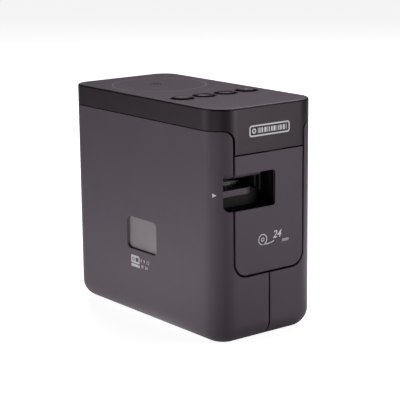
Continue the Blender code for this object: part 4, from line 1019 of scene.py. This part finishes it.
def battery_contacts():
    """A steel plate at the nub of each cell, in the tray's end."""
    half, thickness = mm(4.5, 0.25)
    for i, node in enumerate(BATTERIES, 1):
        x, z = centre_of(node, "y")
        front, rear = span_of(node, "y")
        nub_at, way = (front - thickness, -1) if node in TURNED_CELLS else (rear + thickness, 1)
        depth = sorted((nub_at, nub_at + way * thickness))
        plate = slab(f"contact_plate_{i}", around(x, half), around(z, half), 1 * MM, "y", depth, 6)
        piece(plate, "bright_steel", edge=0.06 * MM)


def tape_roll():
    """Wound tape with the edges of its turns standing out as rings, on a bored hub."""
    low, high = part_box("tape_roll")
    roll = (low.x + 2.7 * MM, high.x - 0.2 * MM)
    hub_r, bore_r, outer = 5.4 * MM, 3.6 * MM, (high.z - low.z) / 2
    turns = []
    radius = hub_r + 0.4 * MM
    while radius < outer - 0.3 * MM:
        turns += [(radius, 0.0), (radius + 0.22 * MM, 0.05 * MM), (radius + 0.44 * MM, 0.0)]
        radius += 0.48 * MM
    left = [(r, roll[0] + depth) for r, depth in turns]
    right = [(r, roll[1] - depth) for r, depth in reversed(turns)]
    profile = [(bore_r, low.x), (hub_r - 0.15 * MM, low.x), (hub_r, low.x + 0.15 * MM), (hub_r, roll[0])]
    profile += left + [(outer, roll[0] + 0.1 * MM), (outer, roll[1] - 0.1 * MM)] + right
    profile += [(hub_r, roll[1]), (hub_r, high.x), (bore_r, high.x)]
    centre = centre_of("tape_roll", "x")
    made = piece(tube("tape_roll_wound", centre, "x", profile), "tape", "tape_roll")
    paint(made, "gear", lambda p, n: math.hypot(p.y - centre[0], p.z - centre[1]) < hub_r + 0.1 * MM)


def ribbon_spool(node, core_r, bore_r, hub_reach):
    """Ink ribbon wound on a pale core."""
    low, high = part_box(node)
    outer, roll_low = (high.z - low.z) / 2, low.x + hub_reach
    edge = 0.12 * MM
    profile = [(bore_r, low.x), (core_r, low.x), (core_r, roll_low + edge), (outer - edge, roll_low + edge),
               (outer, roll_low + 2 * edge), (outer, high.x - 2 * edge), (outer - edge, high.x - edge),
               (core_r, high.x - edge), (core_r, high.x), (bore_r, high.x)]
    centre = centre_of(node, "x")
    spool = piece(tube(f"{node}_wound", centre, "x", profile), "ribbon", node)
    paint(spool, "gear", lambda p, n: math.hypot(p.y - centre[0], p.z - centre[1]) < core_r + 0.05 * MM)


def pin(node, axis, radius):
    profile = rounded_profile(radius, *span_of(node, axis), 0.25 * MM)
    piece(turned(f"{node}_turned", centre_of(node, axis), axis, profile, 40), "bright_steel", node)


def platen():
    """Rubber roller with rounded ends on a bright steel shaft."""
    low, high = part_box("platen_roller")
    outer, bore_r = (high.z - low.z) / 2, 1.8 * MM
    profile = [(bore_r, low.x), *rounded_profile(outer, low.x, high.x, 0.3 * MM), (bore_r, high.x)]
    sleeve = tube("platen_roller_sleeve", centre_of("platen_roller", "x"), "x", profile)
    piece(sleeve, "roller", "platen_roller")
    pin("platen_shaft", "x", 1.5 * MM)


def power_jack():
    """Power inlet: a moulded block with a round mouth, a steel sleeve in it, and a rounded pin."""
    low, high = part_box("dc_jack")
    centre = centre_of("dc_jack", "y")
    body = block("power_jack_body", *spans_of("dc_jack"))
    cut(body, disc("power_jack_mouth", centre, 3.0 * MM, "y", (low.y + 3 * MM, FAR)))
    piece(body, "dark", "dc_jack", 0.2 * MM)
    sleeve = [(3.0 * MM, low.y + 4 * MM), (3.0 * MM, high.y - 0.6 * MM), (2.75 * MM, high.y - 0.7 * MM),
              (2.75 * MM, low.y + 4 * MM)]
    piece(tube("power_jack_sleeve", centre, "y", sleeve), "bright_steel")
    inner = rounded_profile(1.0 * MM, low.y + 2.5 * MM, high.y - 1 * MM, 0.4 * MM)
    piece(turned("power_jack_pin", centre, "y", inner, 40), "bright_steel")


def data_socket():
    """Data socket's steel shell with rounded corners, and its dark tongue."""
    (x, y, z), shell = spans_of("usb_socket"), 0.8 * MM
    body = slab("data_socket_shell", x, z, 1.0 * MM, "y", y, 8)
    mouth = (y[0] + 1.2 * MM, FAR)
    cut(body, slab("data_socket_mouth", grown(x, -shell), grown(z, -shell), 0.5 * MM, "y", mouth, 8))
    piece(body, "bright_steel", "usb_socket", 0.08 * MM)
    tongue = block("data_socket_tongue", grown(x, -2.4 * MM), (y[0] + 0.4 * MM, y[1] - 1.2 * MM),
                   around((z[0] + z[1]) / 2, 0.4 * MM))
    piece(tongue, "dark", edge=0.1 * MM)


def boards():
    """Circuit boards with their parts: chips, capacitors, switches, and the contactless antenna's coil."""
    main, switches, _ = [refined(node, "board", 0.06 * MM, 1) for node in
                         ("main_board", "button_board", "antenna_board")]
    face, capacitor_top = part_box("main_board")[1].x - 1.7 * MM, 47 * MM
    paint(main, "chip", lambda p, n: p.x < face and p.z > capacitor_top)
    paint(main, "jacket", lambda p, n: p.x < face and p.z < capacitor_top)
    paint(switches, "steel", lambda p, n: 132.2 * MM < p.z < 135.2 * MM)
    paint(switches, "chip", lambda p, n: p.z > 135.2 * MM)
    lay = on_face((*centre_of("antenna_board", "z"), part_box("antenna_board")[1].z), TOP)
    turns = []
    for i in range(4):
        outer, inner = around(0.0, 22.0 - 1.6 * i), around(0.0, 22.0 - 1.6 * i - 0.6)
        turns.append(shape(rounded_rectangle(outer, outer, 3.0, 8), rounded_rectangle(inner, inner, 2.4, 8)))
    printed("antenna_coil", turns, lay, "copper")


def cassette_sticker():
    """A blank sticker on the cassette with the tape's width, and bars where a name would be."""
    x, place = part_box("cassette_lid")[0].x, mm(9, 94)
    sticker = shape(rounded_rectangle((-29, 29), (-7.5, 7.5), 1.5, 8))
    printed("cassette_sticker", [sticker], on_face((x, *place), LEFT), "label")
    marks = [bar((-26.5, 26.5), (-6.2, -5.4)), bar((-26.5, 26.5), (5.4, 6.2)),
             lettering("24 mm", 6.5, (-26, -2.2)),
             bar((4, 26), (1.4, 2.6), 0.5), bar((4, 20), (-1.0, 0.2), 0.5), bar((4, 23), (-3.4, -2.2), 0.5)]
    above = on_face((x - PRINT + TOUCH, *place), LEFT)
    printed("cassette_sticker_marks", marks, above, "black_print")


def gear_with_shaft(node, axis, span):
    """A gear that is one piece with a steel shaft: whatever lies outside the toothed span is the shaft."""
    made = refined(node, "gear", 0.05 * MM, 1)
    low, high, i = span[0] - 0.1 * MM, span[1] + 0.1 * MM, "xyz".index(axis)
    paint(made, "bright_steel", lambda p, n: not low < p[i] < high)


REFINED = (     # node, look, rounding of its edges in mm, and segments of that rounding
    ("chassis", "frame", 0.22, 2), ("roller_holder", "frame", 0.18, 2), ("battery_tray", "frame", 0.2, 2),
    ("cassette_case", "pale", 0.2, 2), ("cassette_lid", "pale", 0.2, 2), ("label_tape", "tape", 0.04, 1),
    ("print_head", "ceramic", 0.08, 2), ("head_heat_sink", "aluminium", 0.12, 2),
    ("platen_gear", "gear", 0.05, 1), ("idler_gear", "gear", 0.05, 1), ("ribbon_idler_gear", "gear", 0.05, 1),
    ("ribbon_drive_gear", "gear", 0.05, 1), ("motor_bracket", "steel", 0.12, 2),
    ("cutter_frame", "steel", 0.12, 2), ("cutter_lever", "steel", 0.08, 1),
    ("fixed_blade", "bright_steel", 0.04, 1), ("moving_blade", "bright_steel", 0.04, 1),
)

exit_guide()
cassette_pane()
for name in FEET:
    foot(name)
for name in CASE_SCREWS + TOP_SCREWS:
    screw(name)
pin("hinge_pin", "z", 1.0 * MM)
for name, look_name, rounding, bevels in REFINED:
    refined(name, look_name, rounding * MM, bevels)
cassette_sticker()
tape_roll()
ribbon_spool("ribbon_supply_spool", 3.9 * MM, 3.0 * MM, 0.0)
ribbon_spool("ribbon_take_up_spool", 3.8 * MM, 2.8 * MM, 2.7 * MM)
platen()
gear_with_shaft("motor_pinion", "x", span_of("platen_gear", "x"))
gear_with_shaft("cutter_pinion", "y", span_of("cutter_lever", "y"))
motor("feed_motor", "x", 9.8 * MM, 6.0 * MM, 2.0 * MM, 10.9 * MM)
motor("cutter_motor", "y", 7.5 * MM, 4.0 * MM, 1.0 * MM, 9.9 * MM)
boards()
data_socket()
power_jack()
for name in BATTERIES:
    battery_cell(name)
battery_contacts()


# ---------------------------------------------------------------- stage
CAMERA_AZIMUTH, CAMERA_ELEVATION, CAMERA_ROLL, CAMERA_LENS = -37.861, 12.823, -0.595, 126.753
CAMERA_DISTANCE, CAMERA_TARGET = 896.744 * MM, (6.992 * MM, 0.0, 71.568 * MM)
TABLE_HALF_W, TABLE_NEAR, TABLE_FAR, TABLE_DROP = 0.7, -0.75, 4.0, 0.05 * MM
BESIDE_FROM, BEYOND_FROM = (-0.03, 0.03), (0.6, 0.95)     # where the table's next levels take over
GLOW_MAX, BACKDROP = 2.0, 0.9     # the strongest that any part of the table may shine, and what is seen of it
SOFTBOXES = (       # name, azimuth, elevation, distance, side, power and colour
    ("rear_right", 140, 50, 1.2, 0.7, 7.3, (1.0, 0.88, 1.0)),
    ("right", 100, 50, 1.2, 0.7, 3.3, (1.0, 1.0, 1.0)),
    ("left", -115, 5, 1.2, 0.7, 3.6, (1.0, 1.0, 1.0)),
    ("front_right", 22, 2, 0.675, 0.35, 1.8, (1.0, 1.0, 1.0)),
)


def look_at_matrix(azimuth, elevation, roll, distance, target):
    """The camera's matrix: azimuth 0 looks along +Y, and roll turns it about its line of sight."""
    a, e = math.radians(azimuth), math.radians(elevation)
    back = Vector((math.sin(a) * math.cos(e), -math.cos(a) * math.cos(e), math.sin(e)))
    turn = (-back).to_track_quat("-Z", "Y").to_matrix() @ Matrix.Rotation(math.radians(roll), 3, "Z")
    return Matrix.Translation(Vector(target) + back * distance) @ turn.to_4x4()


def camera():
    data = bpy.data.cameras.new("camera")
    data.sensor_width, data.lens = 36.0, CAMERA_LENS
    data.clip_start, data.clip_end = 0.05, 50.0
    made = link("camera", data)
    made.matrix_world = look_at_matrix(CAMERA_AZIMUTH, CAMERA_ELEVATION, CAMERA_ROLL, CAMERA_DISTANCE,
                                       CAMERA_TARGET)
    bpy.context.scene.camera = made


def softbox(name, azimuth, elevation, distance, side, power, colour):
    """An area light that faces the middle of the object from a direction given as for the camera."""
    data = bpy.data.lights.new(name, "AREA")
    data.shape = "RECTANGLE"
    data.size, data.size_y = side, side
    data.energy, data.color = power, colour
    made = link(name, data)
    made.matrix_world = look_at_matrix(azimuth, elevation, 0.0, distance, (0.0, 0.0, HEIGHT / 2))


def levels(look, value, stops):
    """Strengths of light at places in metres along value, blended between, as a factor of GLOW_MAX."""
    nodes, links = look.node_tree.nodes, look.node_tree.links
    scaled, made = nodes.new("ShaderNodeMapRange"), nodes.new("ShaderNodeValToRGB")
    first, last = stops[0][0], stops[-1][0]
    put(scaled, From_Min=first, From_Max=last)
    links.new(value, scaled.inputs["Value"])
    while len(made.color_ramp.elements) < len(stops):
        made.color_ramp.elements.new(0.5)
    for element, (place, strength) in zip(made.color_ramp.elements, stops):
        element.position = (place - first) / (last - first)
        element.color = (*[strength / GLOW_MAX] * 3, 1.0)
    links.new(scaled.outputs["Result"], made.inputs["Fac"])
    return made.outputs["Color"]


def glow(look, near, beside, beyond):
    """Makes the table shine: near and beside hold its levels across, before and beside the object.

    As a backdrop it is at least BACKDROP bright, so that only a faint shadow shows.
    """
    nodes, links = look.node_tree.nodes, look.node_tree.links
    places, turn = nodes.new("ShaderNodeTexCoord"), nodes.new("ShaderNodeMapping")
    put(turn, Rotation=(0.0, 0.0, -math.radians(CAMERA_AZIMUTH)))
    split = nodes.new("ShaderNodeSeparateXYZ")
    links.new(places.outputs["Object"], turn.inputs["Vector"])
    links.new(turn.outputs["Vector"], split.inputs["Vector"])
    across, away = split.outputs["X"], split.outputs["Y"]
    found = levels(look, across, near)
    stages = ((levels(look, across, beside), BESIDE_FROM), (beyond / GLOW_MAX, BEYOND_FROM))
    for level, (start, end) in stages:
        share, blend = nodes.new("ShaderNodeMapRange"), nodes.new("ShaderNodeMix")
        put(share, From_Min=start, From_Max=end)
        links.new(away, share.inputs["Value"])
        links.new(share.outputs["Result"], blend.inputs["Factor"])
        links.new(found, blend.inputs["A"])
        if isinstance(level, float):
            put(blend, B=level)
        else:
            links.new(level, blend.inputs["B"])
        found = blend.outputs["Result"]
    seen, shown = nodes.new("ShaderNodeLightPath"), nodes.new("ShaderNodeMix")
    brightness = nodes.new("ShaderNodeMath")
    brightness.operation = "MULTIPLY"
    brightness.inputs[1].default_value = GLOW_MAX
    links.new(found, brightness.inputs[0])
    links.new(seen.outputs["Is Camera Ray"], shown.inputs["Factor"])
    links.new(brightness.outputs[0], shown.inputs["A"])
    shader = nodes["Principled BSDF"]
    put(shown, B=BACKDROP)
    put(shader, Emission_Color=(1.0, 1.0, 1.0, 1.0))
    links.new(shown.outputs["Result"], shader.inputs["Emission Strength"])


def floor():
    """A white light table that runs past the object along the camera's line of sight, and ends beside it."""
    look = new_look("light_table", 0.9, specular=0.1)[0]
    fibres = noise(look, 300, 4.0)
    colour_by(look, fibres, (0.86, 0.86, 0.87), (0.90, 0.90, 0.90), (0.0, 1.0))
    bump(look, fibres, 0.02 * MM)
    near = ((-0.30, 0.0), (-0.26, 1.65), (-0.11, 1.75), (-0.07, 1.0), (-0.02, 1.0), (0.02, 0.15), (0.1, 0.0))
    beside = ((-0.30, 0.0), (-0.26, 0.55), (0.0, 0.6), (0.08, 1.4), (0.26, 1.4), (0.34, 0.0))
    glow(look, near, beside, 1.0)
    turn = Matrix.Rotation(math.radians(CAMERA_AZIMUTH), 4, "Z")
    sides = ((-TABLE_HALF_W, TABLE_NEAR), (TABLE_HALF_W, TABLE_NEAR), (TABLE_HALF_W, TABLE_FAR),
             (-TABLE_HALF_W, TABLE_FAR))
    corners = [turn @ Vector((u, v, -TABLE_DROP)) for u, v in sides]
    made = mesh_object("light_table", corners, [(0, 1, 2, 3)])
    made.data.materials.append(look)
    made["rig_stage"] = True


def world():
    """A plain white backdrop, which gives no light of its own."""
    made = bpy.data.worlds.new("studio")
    made.use_nodes = True
    nodes = made.node_tree.nodes
    seen = nodes.new("ShaderNodeLightPath")
    made.node_tree.links.new(seen.outputs["Is Camera Ray"], nodes["Background"].inputs["Strength"])
    put(nodes["Background"], Color=(1.0, 1.0, 1.0, 1.0))
    bpy.context.scene.world = made


camera()
floor()
world()
for box in SOFTBOXES:
    softbox(*box)
bpy.context.scene.view_settings.view_transform = "Standard"

drop_helpers()
